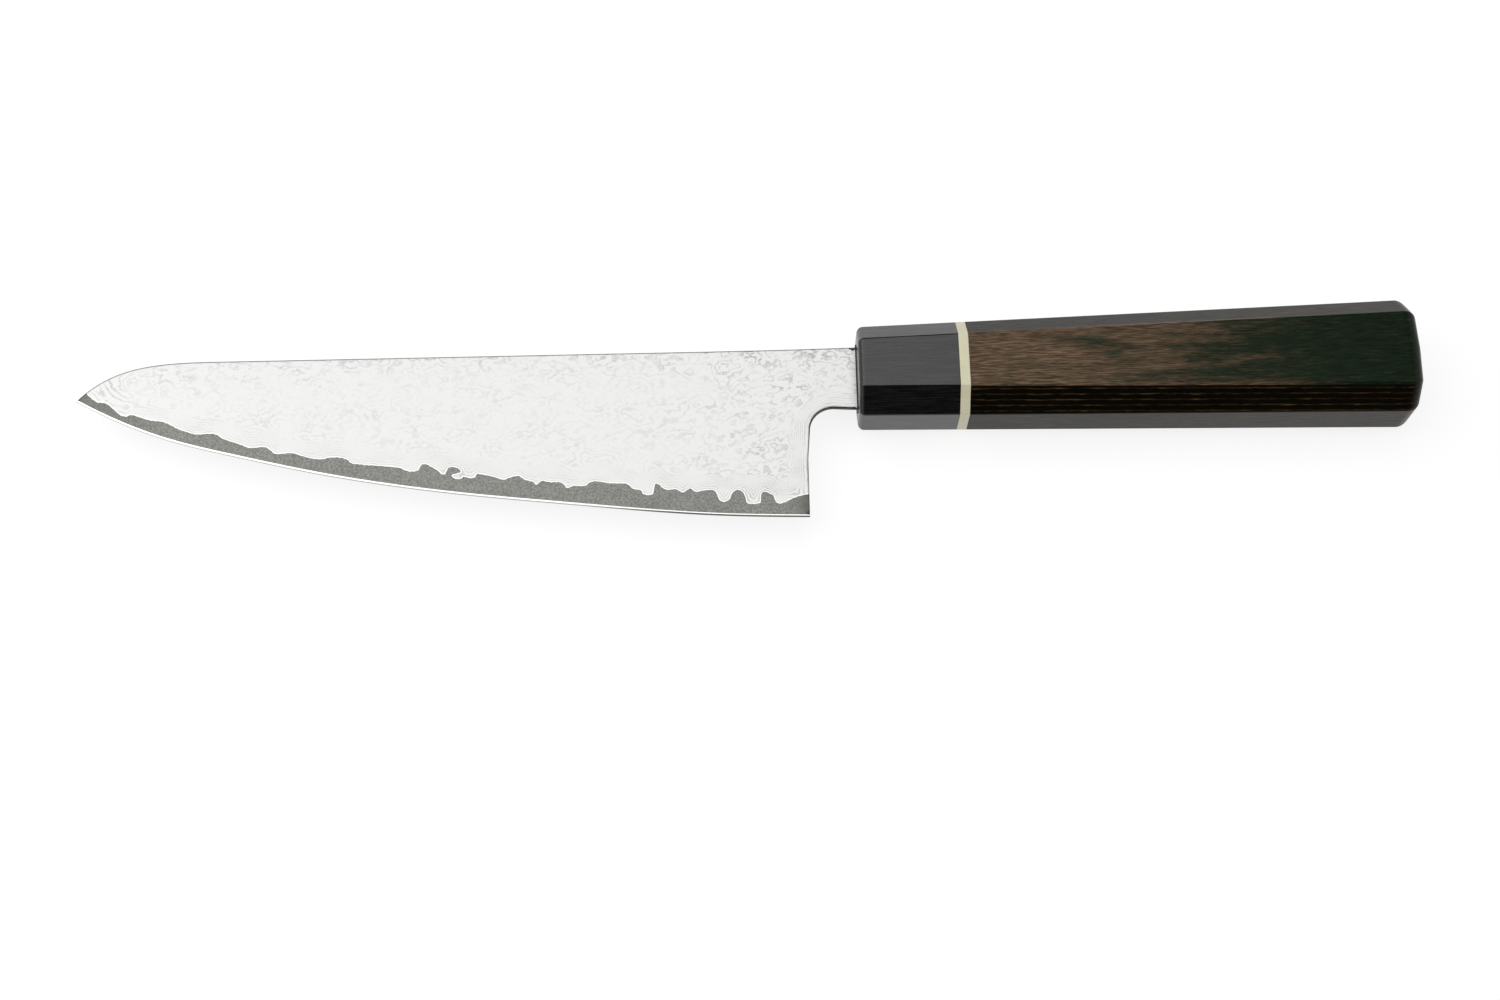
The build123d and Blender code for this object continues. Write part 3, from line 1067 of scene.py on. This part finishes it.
    def build_core(self, nets: dict, finishes: list[bpy.types.Material]) -> bpy.types.Object:
        """Make the core: bare along the edge, and a thin slab under the cladding.

        Args:
            nets: Points and triangles of each face.
            finishes: The etched finish and the honed finish.

        Returns:
            The piece.
        """
        sheets = []
        for side, (points, faces) in nets.items():
            half = self.half_thickness(points)
            from_seam = distance_to(points, self.seams[side])
            cover = np.where(self.bare_core(points, side), 0.0, self.cladding_depth(half, from_seam))
            sheets.append((points, faces, half - cover, np.zeros(len(points)), side.value))
        piece = self.solid("blade_core_steel", sheets, finishes)
        mesh = piece.data
        spots = np.array([v.co for v in mesh.vertices])
        flat = spots[:, :2]
        on_seam = np.zeros(len(flat), bool)
        for side in Side:
            on_seam |= (distance_to(flat, self.seams[side]) < 2e-3) & (spots[:, 2] * side.value > 0)
        self.mark_creases(mesh, on_seam)
        away = self.heel_x - flat[:, 0]
        shade = 0.75 * swell(away, 2.5) + 0.35 * swell(self.length - away, 14.0)
        store(mesh, "shade", np.clip(shade, 0, 1))
        store(mesh, "back", self.back_shade(flat))
        rise = flat[:, 1] - self.edge(flat[:, 0])
        near_heel = 1 - ease(away, 30.0, 60.0)
        # Painted shade along the apex of the edge: roll is above 0 on its line, and burnish says how dark it
        # is, more near the heel
        store(mesh, "roll", 0.25 + 0.15 * near_heel - rise)
        store(mesh, "burnish", 0.75 + 0.25 * near_heel)
        for face in mesh.polygons:
            middle = np.array(face.center)
            if middle[1] - self.edge(middle[0]) < self.bevel_height and middle[0] < self.heel_x:
                face.material_index = 1
        self.place(piece)
        return finish_piece(piece, "core_steel", "blade_core")

    def build_cladding(self, side: Side, net: tuple, finish: bpy.types.Material) -> bpy.types.Object:
        """Make the layered steel on one face, from its feather edge at the seam to the tang's end.

        Args:
            side: The face.
            net: Points and triangles of the face.
            finish: The etched layered finish.

        Returns:
            The piece.
        """
        points, faces = net
        half = self.half_thickness(points)
        from_seam = distance_to(points, self.seams[side])
        has_body = from_seam[faces].max(axis=1) > 2e-3
        covered = faces[has_body & ~self.bare_core(points[faces].mean(axis=1), side)]
        foot = half - self.cladding_depth(half, from_seam)
        name = f"cladding_{side.name.lower()}"
        piece = self.solid(f"{name}_steel", [(points, covered, half, foot, side.value)], [finish])
        mesh = piece.data
        spots = np.array([v.co for v in mesh.vertices])
        flat = spots[:, :2]
        away = distance_to(flat, self.seams[side])
        self.mark_creases(mesh, away < 2e-3)
        store(mesh, "seam", away)
        store(mesh, "back", self.back_shade(flat))
        self.store_layers(mesh, flat, away)
        self.place(piece)
        return finish_piece(piece, "cladding_steel", name)

    def back_shade(self, places: np.ndarray) -> np.ndarray:
        """Find how far the painted shade along the blade's eased backs reaches.

        Args:
            places: Places in the side view.

        Returns:
            A share from 0 to 1 for each place.
        """
        spine = distance_to(places, self.outline["back_top"])
        under = distance_to(places, self.outline["back_bottom"])
        heel = ease(places[:, 1], -18.0, -12.0)
        width = 0.30 + 0.22 * heel
        return np.maximum(0.85 * (1 - ease(spine, 0.05, 0.42)),
                          (0.62 + 0.38 * heel) * (1 - ease(under / width, 0.3, 1.0)))

    def store_layers(self, mesh: bpy.types.Mesh, places: np.ndarray, from_seam: np.ndarray) -> None:
        """Store how the cladding's layers run: along the seam, the heel and the tip, else by the grind.

        Args:
            mesh: The cladding's mesh.
            places: Its vertices in the side view.
            from_seam: Their distances from the forged line.
        """
        taper = (self.heel_x - np.minimum(places[:, 0], self.heel_x)) / self.length
        ahead, level = self.swirl_centre
        swirl = places - (self.tip_x + ahead, level)
        from_tip = np.linalg.norm(swirl * (0.85, 1.15), axis=1)
        from_back = distance_to(places, self.outline["back_bottom"])
        in_swirl = (1 - ease(from_tip, 8.0, 15.0)) * (1 - ease(swirl[:, 0], -3.0, 5.0))
        off_tip = 1 - in_swirl * ease(from_tip, 2.5, 6.0)
        off_seam, off_back = ease(from_seam, 1.0, 5.0), ease(from_back, 1.0, 6.0)
        flow = 14.0 * (1.0 - self.half_thickness(places) - 0.18 * taper)
        guides = ((off_seam, from_seam), (off_back, from_back), (off_tip, from_tip))
        for (share, gap), rate in zip(guides, self.layers_per_mm):
            flow = rate * gap + (flow - rate * gap) * share
        store(mesh, "flow", flow)
        store(mesh, "calm", 0.12 + 0.88 * off_seam * off_tip * off_back)
        # The etch bites deeper along the spine, in the swirl, near the heel and beside the seam
        bite = 0.5 + 0.7 * swell(self.spine_level - places[:, 1], 4.0) + 0.8 * (1 - off_tip)
        bite += 0.8 * swell(places[:, 0] - self.heel_x, 25.0) + 0.5 * swell(from_seam, 3.0)
        store(mesh, "bite", bite)

    def build(self) -> None:
        """Make the core and both claddings."""
        nets = {side: self.net(side) for side in Side}
        self.build_core(nets, [EtchedCoreSteel().build(), HonedEdgeSteel().build()])
        layered = EtchedLayeredSteel().build()
        for side in Side:
            self.build_cladding(side, nets[side], layered)


# ---------------------------------------------------------------------------- handle


@dataclass(frozen=True)
class BarPart:
    """One piece of the handle's bar: its names, its stretch of the bar and its finish."""

    name: str
    node: str
    slot: str
    start: float
    length: float
    front_rounding: float
    back_rounding: float
    rows: int
    material: bpy.types.Material
    crown: float = 0.0


@dataclass
class Handle:
    """The eight-sided handle: ferrule, ring and body cut from one tapered bar, and its seal.

    Lengths are in metres in the knife's own axes, with X from the ferrule's front face.
    """

    knife: KnifeFrame
    ferrule: float = 24.4 * MM
    ring: float = 2.4 * MM
    body: float = 110.0 * MM
    thickness: tuple[float, float] = (21.1 * MM, 22.1 * MM)
    height: tuple[float, float] = (23.5 * MM, 29.6 * MM)
    centre: tuple[float, float] = (-0.2 * MM, 1.0 * MM)
    bevel_leg: float = 5.6 * MM
    ridge: float = 0.8 * MM
    front_rounding: float = 1.5 * MM
    butt_rounding: float = 3.2 * MM
    butt_crown: float = 0.6 * MM
    crown_fade: float = 14.0 * MM
    crown_reach: float = 5.0 * MM
    bar_rows_share: float = 0.8
    seam_easing: float = 0.06 * MM
    bore_radius: float = 7.05 * MM
    bore: tuple[float, float] = (4.0 * MM, 99.0 * MM)
    bore_level: float = 0.2 * MM
    slot: tuple[float, float] = (12.0 * MM, 2.7 * MM)
    mouth: tuple[float, float, float] = (1.0 * MM, 8.3 * MM, -8.85 * MM)
    mouth_width: float = 2.9 * MM
    butt_fall: tuple[float, float, float] = (0.0, 1.0, 0.1)
    blend_limit: float = math.radians(30)

    def bar_tree(self) -> bpy.types.NodeTree:
        """Build the tree that makes any stretch of the handle's bar, rounded at its ends.

        Returns:
            A geometry tree with the sizes as named inputs.
        """
        tree = bpy.data.node_groups.new("eight_sided_bar", "GeometryNodeTree")
        kinds = {
            "Float": ("Start", "End", "Front Rounding", "Back Rounding", "Bar Length", "Bevel Leg",
                      "Ridge", "Crown", "Crown Start", "Crown Reach", "Bore Start", "Bore End",
                      "Bore Radius", "Bore Level", "Mouth Level"),
            "Vector": ("Half Size", "Gain", "Centre", "Centre Gain", "Slot Size", "Mouth Size"),
            "Int": ("Rows",),
            "Material": ("Material",),
        }
        for kind, names in kinds.items():
            for name in names:
                tree.interface.new_socket(name=name, in_out="INPUT", socket_type=f"NodeSocket{kind}")
        tree.interface.new_socket(name="Geometry", in_out="OUTPUT", socket_type="NodeSocketGeometry")
        given = add_node(tree, "NodeGroupInput").outputs
        bar = self.add_plain_bar(tree, given)
        place = self.add_shaping(tree, given)
        shaped = add_node(tree, "GeometryNodeSetPosition", {"Geometry": bar, "Position": place})
        closed = add_node(tree, "GeometryNodeMergeByDistance", {"Geometry": shaped, "Distance": 1e-6})
        hollow = add_node(tree, "GeometryNodeMeshBoolean",
                          {"Mesh 1": closed, "Mesh 2": self.add_hollows(tree, given)},
                          operation="DIFFERENCE", solver="EXACT")
        real = add_node(tree, "GeometryNodeRealizeInstances", {0: hollow})
        dressed = add_node(tree, "GeometryNodeSetMaterial", {"Geometry": real, "Material": given["Material"]})
        add_node(tree, "NodeGroupOutput", {0: dressed})
        return tree

    def add_plain_bar(self, tree: bpy.types.NodeTree, given: bpy.types.NodeOutputs) -> bpy.types.Node:
        """Sweep the section at the ferrule's face along the bar, in rows that crowd at both ends.

        Args:
            tree: The bar's geometry tree.
            given: The tree's inputs.

        Returns:
            The node that gives the straight bar.
        """
        whole = add_node(tree, "ShaderNodeVectorMath", {0: given["Half Size"], "Scale": 2.0},
                         operation="SCALE")
        sides = add_node(tree, "ShaderNodeSeparateXYZ", {0: whole}).outputs
        # A rectangle, its corners cut once for the bevels and eased for the ridges
        box = add_node(tree, "GeometryNodeCurvePrimitiveQuadrilateral",
                       {"Width": sides["Y"], "Height": sides["Z"]})
        bevelled = add_node(tree, "GeometryNodeFilletCurve",
                            {"Curve": box, "Count": 1, "Radius": given["Bevel Leg"]}, mode="POLY")
        eased = add_node(tree, "GeometryNodeFilletCurve",
                         {"Curve": bevelled, "Count": 5, "Radius": given["Ridge"]}, mode="POLY")
        section = add_node(tree, "GeometryNodeSubdivideCurve", {"Curve": eased, "Cuts": 1})
        path = add_node(tree, "GeometryNodeCurvePrimitiveLine", {"End": (1.0, 0.0, 0.0)})
        spaced = add_node(tree, "GeometryNodeResampleCurve", {"Curve": path, "Count": given["Rows"]})
        # The first rows make the bar, and the rest run past its end to close a crowned butt
        share = add_node(tree, "GeometryNodeSplineParameter").outputs["Factor"]
        turn = add_node(tree, "ShaderNodeMapRange",
                        {"Value": share, "From Max": self.bar_rows_share, "To Max": math.pi})
        swing = add_node(tree, "ShaderNodeMath", {0: turn}, operation="COSINE")
        along = add_node(tree, "ShaderNodeMapRange", {"Value": swing, "From Min": 1.0, "From Max": -1.0,
                                                      "To Min": given["Start"], "To Max": given["End"]})
        past = add_node(tree, "ShaderNodeMapRange",
                        {"Value": share, "From Min": self.bar_rows_share, "To Max": given["Crown Reach"]})
        row = add_node(tree, "ShaderNodeMath", {0: along, 1: past}, operation="ADD")
        rows = add_node(tree, "GeometryNodeSetPosition",
                        {"Geometry": spaced, "Position": add_node(tree, "ShaderNodeCombineXYZ", {"X": row})})
        return add_node(tree, "GeometryNodeCurveToMesh",
                        {"Curve": rows, "Profile Curve": section, "Fill Caps": True})

    def add_shaping(self, tree: bpy.types.NodeTree, given: bpy.types.NodeOutputs) -> bpy.types.Node:
        """Work out where each point of the straight bar goes: taper, end roundings and crown.

        Args:
            tree: The bar's geometry tree.
            given: The tree's inputs.

        Returns:
            The node that gives the new position.
        """
        spot = add_node(tree, "GeometryNodeInputPosition")
        run = add_node(tree, "ShaderNodeSeparateXYZ", {0: spot}).outputs["X"]
        inset = 0.0
        for near, far, radius in ((given["Start"], run, given["Front Rounding"]),
                                  (run, given["End"], given["Back Rounding"])):
            gap = add_node(tree, "ShaderNodeMath", {0: far, 1: near}, operation="SUBTRACT")
            fall = add_node(tree, "ShaderNodeMapRange",
                            {"Value": gap, "From Max": radius, "To Min": 1.0, "To Max": 0.0})
            angle = add_node(tree, "ShaderNodeMath", {0: fall}, operation="ARCSINE")
            height = add_node(tree, "ShaderNodeMath", {0: angle}, operation="COSINE")
            bite = add_node(tree, "ShaderNodeMath", {0: 1.0, 1: height}, operation="SUBTRACT")
            inset = add_node(tree, "ShaderNodeMath", {0: bite, 1: radius, 2: inset}, operation="MULTIPLY_ADD")
        # Each facet moves in square to itself, and across a bevel the move turns from Y to Z
        size = add_node(tree, "ShaderNodeVectorMath", {0: spot}, operation="ABSOLUTE")
        under = add_node(tree, "ShaderNodeVectorMath", {0: given["Half Size"], 1: size}, operation="SUBTRACT")
        depth = add_node(tree, "ShaderNodeSeparateXYZ", {0: under}).outputs
        both = add_node(tree, "ShaderNodeMath", {0: depth["Y"], 1: depth["Z"]}, operation="ADD")
        sideways = add_node(tree, "ShaderNodeMath", {0: depth["Y"], 1: both}, operation="DIVIDE")
        mitre = math.sqrt(2) - 1
        weight = add_node(tree, "ShaderNodeMix", {0: sideways, 4: (0.0, 1.0, mitre), 5: (0.0, mitre, 1.0)},
                          data_type="VECTOR").outputs[1]
        along_bar = add_node(tree, "ShaderNodeMath", {0: run, 1: given["End"]}, operation="MINIMUM")
        travel = add_node(tree, "ShaderNodeMath", {0: along_bar, 1: given["Bar Length"]}, operation="DIVIDE")
        gained = add_node(tree, "ShaderNodeVectorMath", {0: given["Gain"], "Scale": travel},
                          operation="SCALE")
        taken = add_node(tree, "ShaderNodeVectorMath", {0: weight, "Scale": inset}, operation="SCALE")
        change = add_node(tree, "ShaderNodeVectorMath", {0: gained, 1: taken}, operation="SUBTRACT")
        outward = add_node(tree, "ShaderNodeVectorMath", {0: spot}, operation="SIGN")
        moved = add_node(tree, "ShaderNodeVectorMath", {0: outward, 1: change, 2: spot},
                         operation="MULTIPLY_ADD")
        # Rows past the end draw in to the middle of the butt
        limit = add_node(tree, "ShaderNodeMath", {0: given["End"], 1: given["Crown Reach"]}, operation="ADD")
        closing = add_node(tree, "ShaderNodeMapRange",
                           {"Value": run, "From Min": given["End"], "From Max": limit,
                            "To Min": 1.0, "To Max": 0.0})
        flat = add_node(tree, "ShaderNodeCombineXYZ", {"Y": closing, "Z": closing})
        ring = add_node(tree, "ShaderNodeVectorMath", {0: moved, 1: flat}, operation="MULTIPLY")
        # The butt is a shallow dome, which falls back more towards edge and spine than to the sides
        share = add_node(tree, "ShaderNodeVectorMath", {0: ring, 1: given["Half Size"]}, operation="DIVIDE")
        square = add_node(tree, "ShaderNodeVectorMath", {0: share, 1: share}, operation="MULTIPLY")
        spread = add_node(tree, "ShaderNodeVectorMath", {0: square, 1: self.butt_fall},
                          operation="DOT_PRODUCT")
        faded = add_node(tree, "ShaderNodeMapRange",
                         {"Value": run, "From Min": given["Crown Start"], "From Max": given["End"]},
                         interpolation_type="SMOOTHSTEP")
        dome = add_node(tree, "ShaderNodeMath", {0: spread.outputs["Value"], 1: faded}, operation="MULTIPLY")
        drop = add_node(tree, "ShaderNodeMath", {0: dome, 1: given["Crown"]}, operation="MULTIPLY")
        back = add_node(tree, "ShaderNodeMath", {0: along_bar, 1: drop}, operation="SUBTRACT")
        lift = add_node(tree, "ShaderNodeVectorMath", {0: given["Centre Gain"], "Scale": travel},
                        operation="SCALE")
        centred = add_node(tree, "ShaderNodeVectorMath", {0: lift, 1: given["Centre"]}, operation="ADD")
        raised = add_node(tree, "ShaderNodeVectorMath", {0: ring, 1: centred}, operation="ADD")
        return add_node(tree, "ShaderNodeVectorMath",
                        {0: raised, 1: add_node(tree, "ShaderNodeCombineXYZ", {"X": back})}, operation="ADD")

    def add_hollows(self, tree: bpy.types.NodeTree, given: bpy.types.NodeOutputs) -> list[bpy.types.Node]:
        """Make what is cut out: the dowel's round bore, the tang's slot and the mouth round the neck.

        Args:
            tree: The bar's geometry tree.
            given: The tree's inputs.

        Returns:
            The nodes that give the three cutters.
        """
        length = add_node(tree, "ShaderNodeMath", {0: given["Bore End"], 1: given["Bore Start"]},
                          operation="SUBTRACT")
        middle = add_node(tree, "ShaderNodeMath", {0: length, 1: 0.5, 2: given["Bore Start"]},
                          operation="MULTIPLY_ADD")
        drill = add_node(tree, "GeometryNodeMeshCylinder",
                         {"Vertices": 48, "Radius": given["Bore Radius"], "Depth": length}, fill_type="NGON")
        at_bore = add_node(tree, "ShaderNodeCombineXYZ", {"X": middle, "Y": given["Bore Level"]})
        bored = add_node(tree, "GeometryNodeTransform",
                         {"Geometry": drill, "Translation": at_bore, "Rotation": (0.0, math.pi / 2, 0.0)})
        slot = add_node(tree, "GeometryNodeMeshCube", {"Size": given["Slot Size"]})
        mouth = add_node(tree, "GeometryNodeMeshCube", {"Size": given["Mouth Size"]})
        at_mouth = add_node(tree, "ShaderNodeCombineXYZ", {"Y": given["Mouth Level"]})
        opened = add_node(tree, "GeometryNodeTransform", {"Geometry": mouth, "Translation": at_mouth})
        return [bored, slot, opened]

    def stretch(self, tree: bpy.types.NodeTree, part: BarPart) -> bpy.types.Object:
        """Make one piece of the bar from the tree.

        Args:
            tree: The bar's geometry tree.
            part: Where the piece starts and ends, and how it is finished.

        Returns:
            The piece, in place in the frame.
        """
        holder = bpy.data.objects.new("bar", bpy.data.meshes.new("bar"))
        bpy.context.scene.collection.objects.link(holder)
        bar = holder.modifiers.new("bar", "NODES")
        bar.node_group = tree
        end = part.start + part.length
        mouth_depth, mouth_top, mouth_foot = self.mouth
        bore_start = max(self.bore[0], part.start - self.bore[0])
        sizes = {
            "Start": part.start, "End": end,
            "Front Rounding": part.front_rounding, "Back Rounding": part.back_rounding,
            "Half Size": (0.0, self.height[0] / 2, self.thickness[0] / 2),
            "Gain": (0.0, (self.height[1] - self.height[0]) / 2, (self.thickness[1] - self.thickness[0]) / 2),
            "Centre": (0.0, self.centre[0], 0.0), "Centre Gain": (0.0, self.centre[1] - self.centre[0], 0.0),
            "Bar Length": self.ferrule + self.ring + self.body,
            "Bevel Leg": self.bevel_leg, "Ridge": self.ridge,
            "Bore Start": bore_start, "Bore End": min(self.bore[1], end + self.bore[0]),
            "Bore Radius": self.bore_radius, "Bore Level": self.bore_level,
            "Slot Size": (2.2 * bore_start, *self.slot),
            "Mouth Size": (2 * mouth_depth, mouth_top - mouth_foot, self.mouth_width),
            "Mouth Level": (mouth_top + mouth_foot) / 2,
            "Crown": part.crown, "Crown Start": end - self.crown_fade,
            "Crown Reach": self.crown_reach if part.crown else 0.0,
            "Rows": part.rows, "Material": part.material,
        }
        sockets = {s.name: s.identifier for s in tree.interface.items_tree if s.in_out == "INPUT"}
        for name, value in sizes.items():
            bar[sockets[name]] = value
        evaluated = holder.evaluated_get(bpy.context.evaluated_depsgraph_get())
        mesh = bpy.data.meshes.new_from_object(evaluated)
        mesh.name = part.name
        holder.modifiers.remove(bar)
        bpy.data.objects.remove(holder)
        for name, axis in (("across", 2), ("run", 0)):
            store(mesh, name, np.array([v.co[axis] for v in mesh.vertices]) / MM)
        mesh.transform(Matrix.Translation(self.knife.origin()))
        weigh_normals(mesh, self.blend_limit)
        piece = bpy.data.objects.new(part.name, mesh)
        bpy.context.scene.collection.objects.link(piece)
        return finish_piece(piece, part.slot, part.node)

    def build(self) -> None:
        """Make the three pieces of the bar, and dress the CAD pieces inside and at the mouth."""
        tree = self.bar_tree()
        parts = [
            BarPart("ferrule_black_resin", "ferrule", "ferrule_resin", 0.0, self.ferrule,
                    self.front_rounding, self.seam_easing, 70, BLACK_FERRULE.build()),
            BarPart("spacer_ivory_resin", "spacer_ring", "spacer_resin", self.ferrule, self.ring,
                    self.seam_easing, self.seam_easing, 16, IVORY_RING.build()),
            BarPart("grip_laminated_wood", "handle_body", "laminated_wood", self.ferrule + self.ring,
                    self.body, self.seam_easing, self.butt_rounding, 110, LaminatedWood().build(),
                    self.butt_crown),
        ]
        for part in parts:
            self.stretch(tree, part)
        # The mouth seal's black is partly painted shade, at the neck's entry to the slot
        for node, finish in (("dowel", DOWEL_BIRCH), ("tang_epoxy", TANG_EPOXY), ("mouth_seal", MOUTH_SEAL_AND_SHADE)):
            dress_node(node, finish.build())


# ---------------------------------------------------------------------------- stage


@dataclass
class Studio:
    """The pale sweep, the soft lights and the camera."""

    floor_size: float = 80.0
    sweep: str = "7a7a7a"
    mottle: str = "767676"
    white: str = "ffffff"
    sweep_glow: float = 0.84
    softbox_size: tuple[float, float] = (1.45, 1.40)
    softbox_place: tuple[float, float, float] = (-0.40, 0.32, 1.0)
    softbox_radiance: float = 1.9
    fill_strength: float = 0.4
    fill_spread: float = math.radians(50)
    fill_tilts: tuple[tuple[float, float], ...] = ((-42.0, 0.0), (38.0, 12.0))
    ambient: float = 0.02
    ends_glow: float = 0.7
    ends_reach: tuple[float, float] = (0.45, 0.75)
    lens: float = 50.4
    film_width: float = 36.0
    distance: float = 518.3 * MM
    offset: tuple[float, float] = (50.8 * MM, 30.6 * MM)
    roll: float = math.radians(19.5)
    yaw: float = math.radians(1.125)

    def build(self, aim: Vector) -> None:
        """Make the floor, lights and camera.

        Args:
            aim: The point of the handle's axis that the camera is placed from.
        """
        self.build_floor()
        self.build_lights()
        self.build_camera(aim)

    def build_floor(self) -> None:
        """Lay a wide pale floor under the knife."""
        half = self.floor_size / 2
        mesh = bpy.data.meshes.new("sweep")
        mesh.from_pydata([(-half, -half, 0), (half, -half, 0), (half, half, 0), (-half, half, 0)], [],
                         [(0, 1, 2, 3)])
        # Opal acrylic lit from below looks flat, white and nearly even
        material, tree = blank_material("lit_opal_acrylic_table")
        cloud = Grain((0.02, 0.02, 0.02)).add(tree)
        tone = add_node(tree, "ShaderNodeMix",
                        {SHARE: cloud, COLOUR_A: linear_colour(self.sweep),
                         COLOUR_B: linear_colour(self.mottle)},
                        data_type="RGBA")
        add_surface(tree, {"Base Color": tone.outputs[MIXED], "Roughness": 0.9, "Specular IOR Level": 0.1,
                           "Emission Color": linear_colour(self.white),
                           "Emission Strength": self.sweep_glow})
        mesh.materials.append(material)
        floor = bpy.data.objects.new("sweep", mesh)
        bpy.context.scene.collection.objects.link(floor)

    def build_lights(self) -> None:
        """Hang a softbox over the blade and two broad fills, in a room with bright end walls."""
        scene = bpy.context.scene
        world = bpy.data.worlds.new("room")
        world.use_nodes = True
        room = world.node_tree
        room.nodes.clear()
        # The walls past tip and butt are pale, and the ones beside the edge and the spine are dark
        toward = add_node(room, "ShaderNodeTexCoord").outputs["Generated"]
        endwise = add_node(room, "ShaderNodeSeparateXYZ", {0: toward}).outputs["X"]
        reach = add_node(room, "ShaderNodeMath", {0: endwise}, operation="ABSOLUTE")
        start, full = self.ends_reach
        glow = add_node(room, "ShaderNodeMapRange", {"Value": reach, "From Min": start, "From Max": full,
                                                     "To Min": self.ambient, "To Max": self.ends_glow},
                        interpolation_type="SMOOTHSTEP")
        walls = add_node(room, "ShaderNodeBackground", {"Color": linear_colour(self.white), "Strength": glow})
        add_node(room, "ShaderNodeOutputWorld", {"Surface": walls})
        scene.world = world
        wide, deep = self.softbox_size
        box = bpy.data.lights.new("softbox", "AREA")
        box.shape, box.size, box.size_y = "RECTANGLE", wide, deep
        box.energy = self.softbox_radiance * math.pi * wide * deep
        lamp = bpy.data.objects.new("softbox", box)
        lamp.location = self.softbox_place
        scene.collection.objects.link(lamp)
        for number, (lean, pitch) in enumerate(self.fill_tilts):
            fill = bpy.data.lights.new(f"fill_{number}", "SUN")
            fill.energy, fill.angle = self.fill_strength, self.fill_spread
            lamp = bpy.data.objects.new(f"fill_{number}", fill)
            lamp.rotation_euler = (math.radians(pitch), math.radians(lean), 0)
            scene.collection.objects.link(lamp)
        scene.view_settings.view_transform = "Standard"

    def build_camera(self, aim: Vector) -> None:
        """Set the camera over the knife, rolled a little towards its edge.

        Args:
            aim: The point of the handle's axis that the camera is placed from.
        """
        cos_r, sin_r = math.cos(self.roll), math.sin(self.roll)
        cos_y, sin_y = math.cos(self.yaw), math.sin(self.yaw)
        right = Vector((cos_y, -cos_r * sin_y, -sin_r * sin_y))
        up = Vector((sin_y, cos_r * cos_y, sin_r * cos_y))
        back = Vector((0.0, -sin_r, cos_r))
        place = aim - right * self.offset[0] - up * self.offset[1] + back * self.distance
        data = bpy.data.cameras.new("camera")
        data.lens, data.sensor_width, data.clip_start = self.lens, self.film_width, 10 * MM
        camera = bpy.data.objects.new("camera", data)
        camera.matrix_world = Matrix.Translation(place) @ Matrix((right, up, back)).transposed().to_4x4()
        bpy.context.scene.collection.objects.link(camera)
        bpy.context.scene.camera = camera


def main() -> None:
    """Build every piece of the knife, its stage and its camera."""
    logging.basicConfig(level=logging.INFO, format="%(message)s")
    blade = Blade()
    blade.build()
    handle = Handle(blade.knife)
    handle.build()
    Studio().build(blade.knife.origin() + Vector((handle.ferrule, 0.0, 0.0)))


if __name__ == "__main__":
    main()
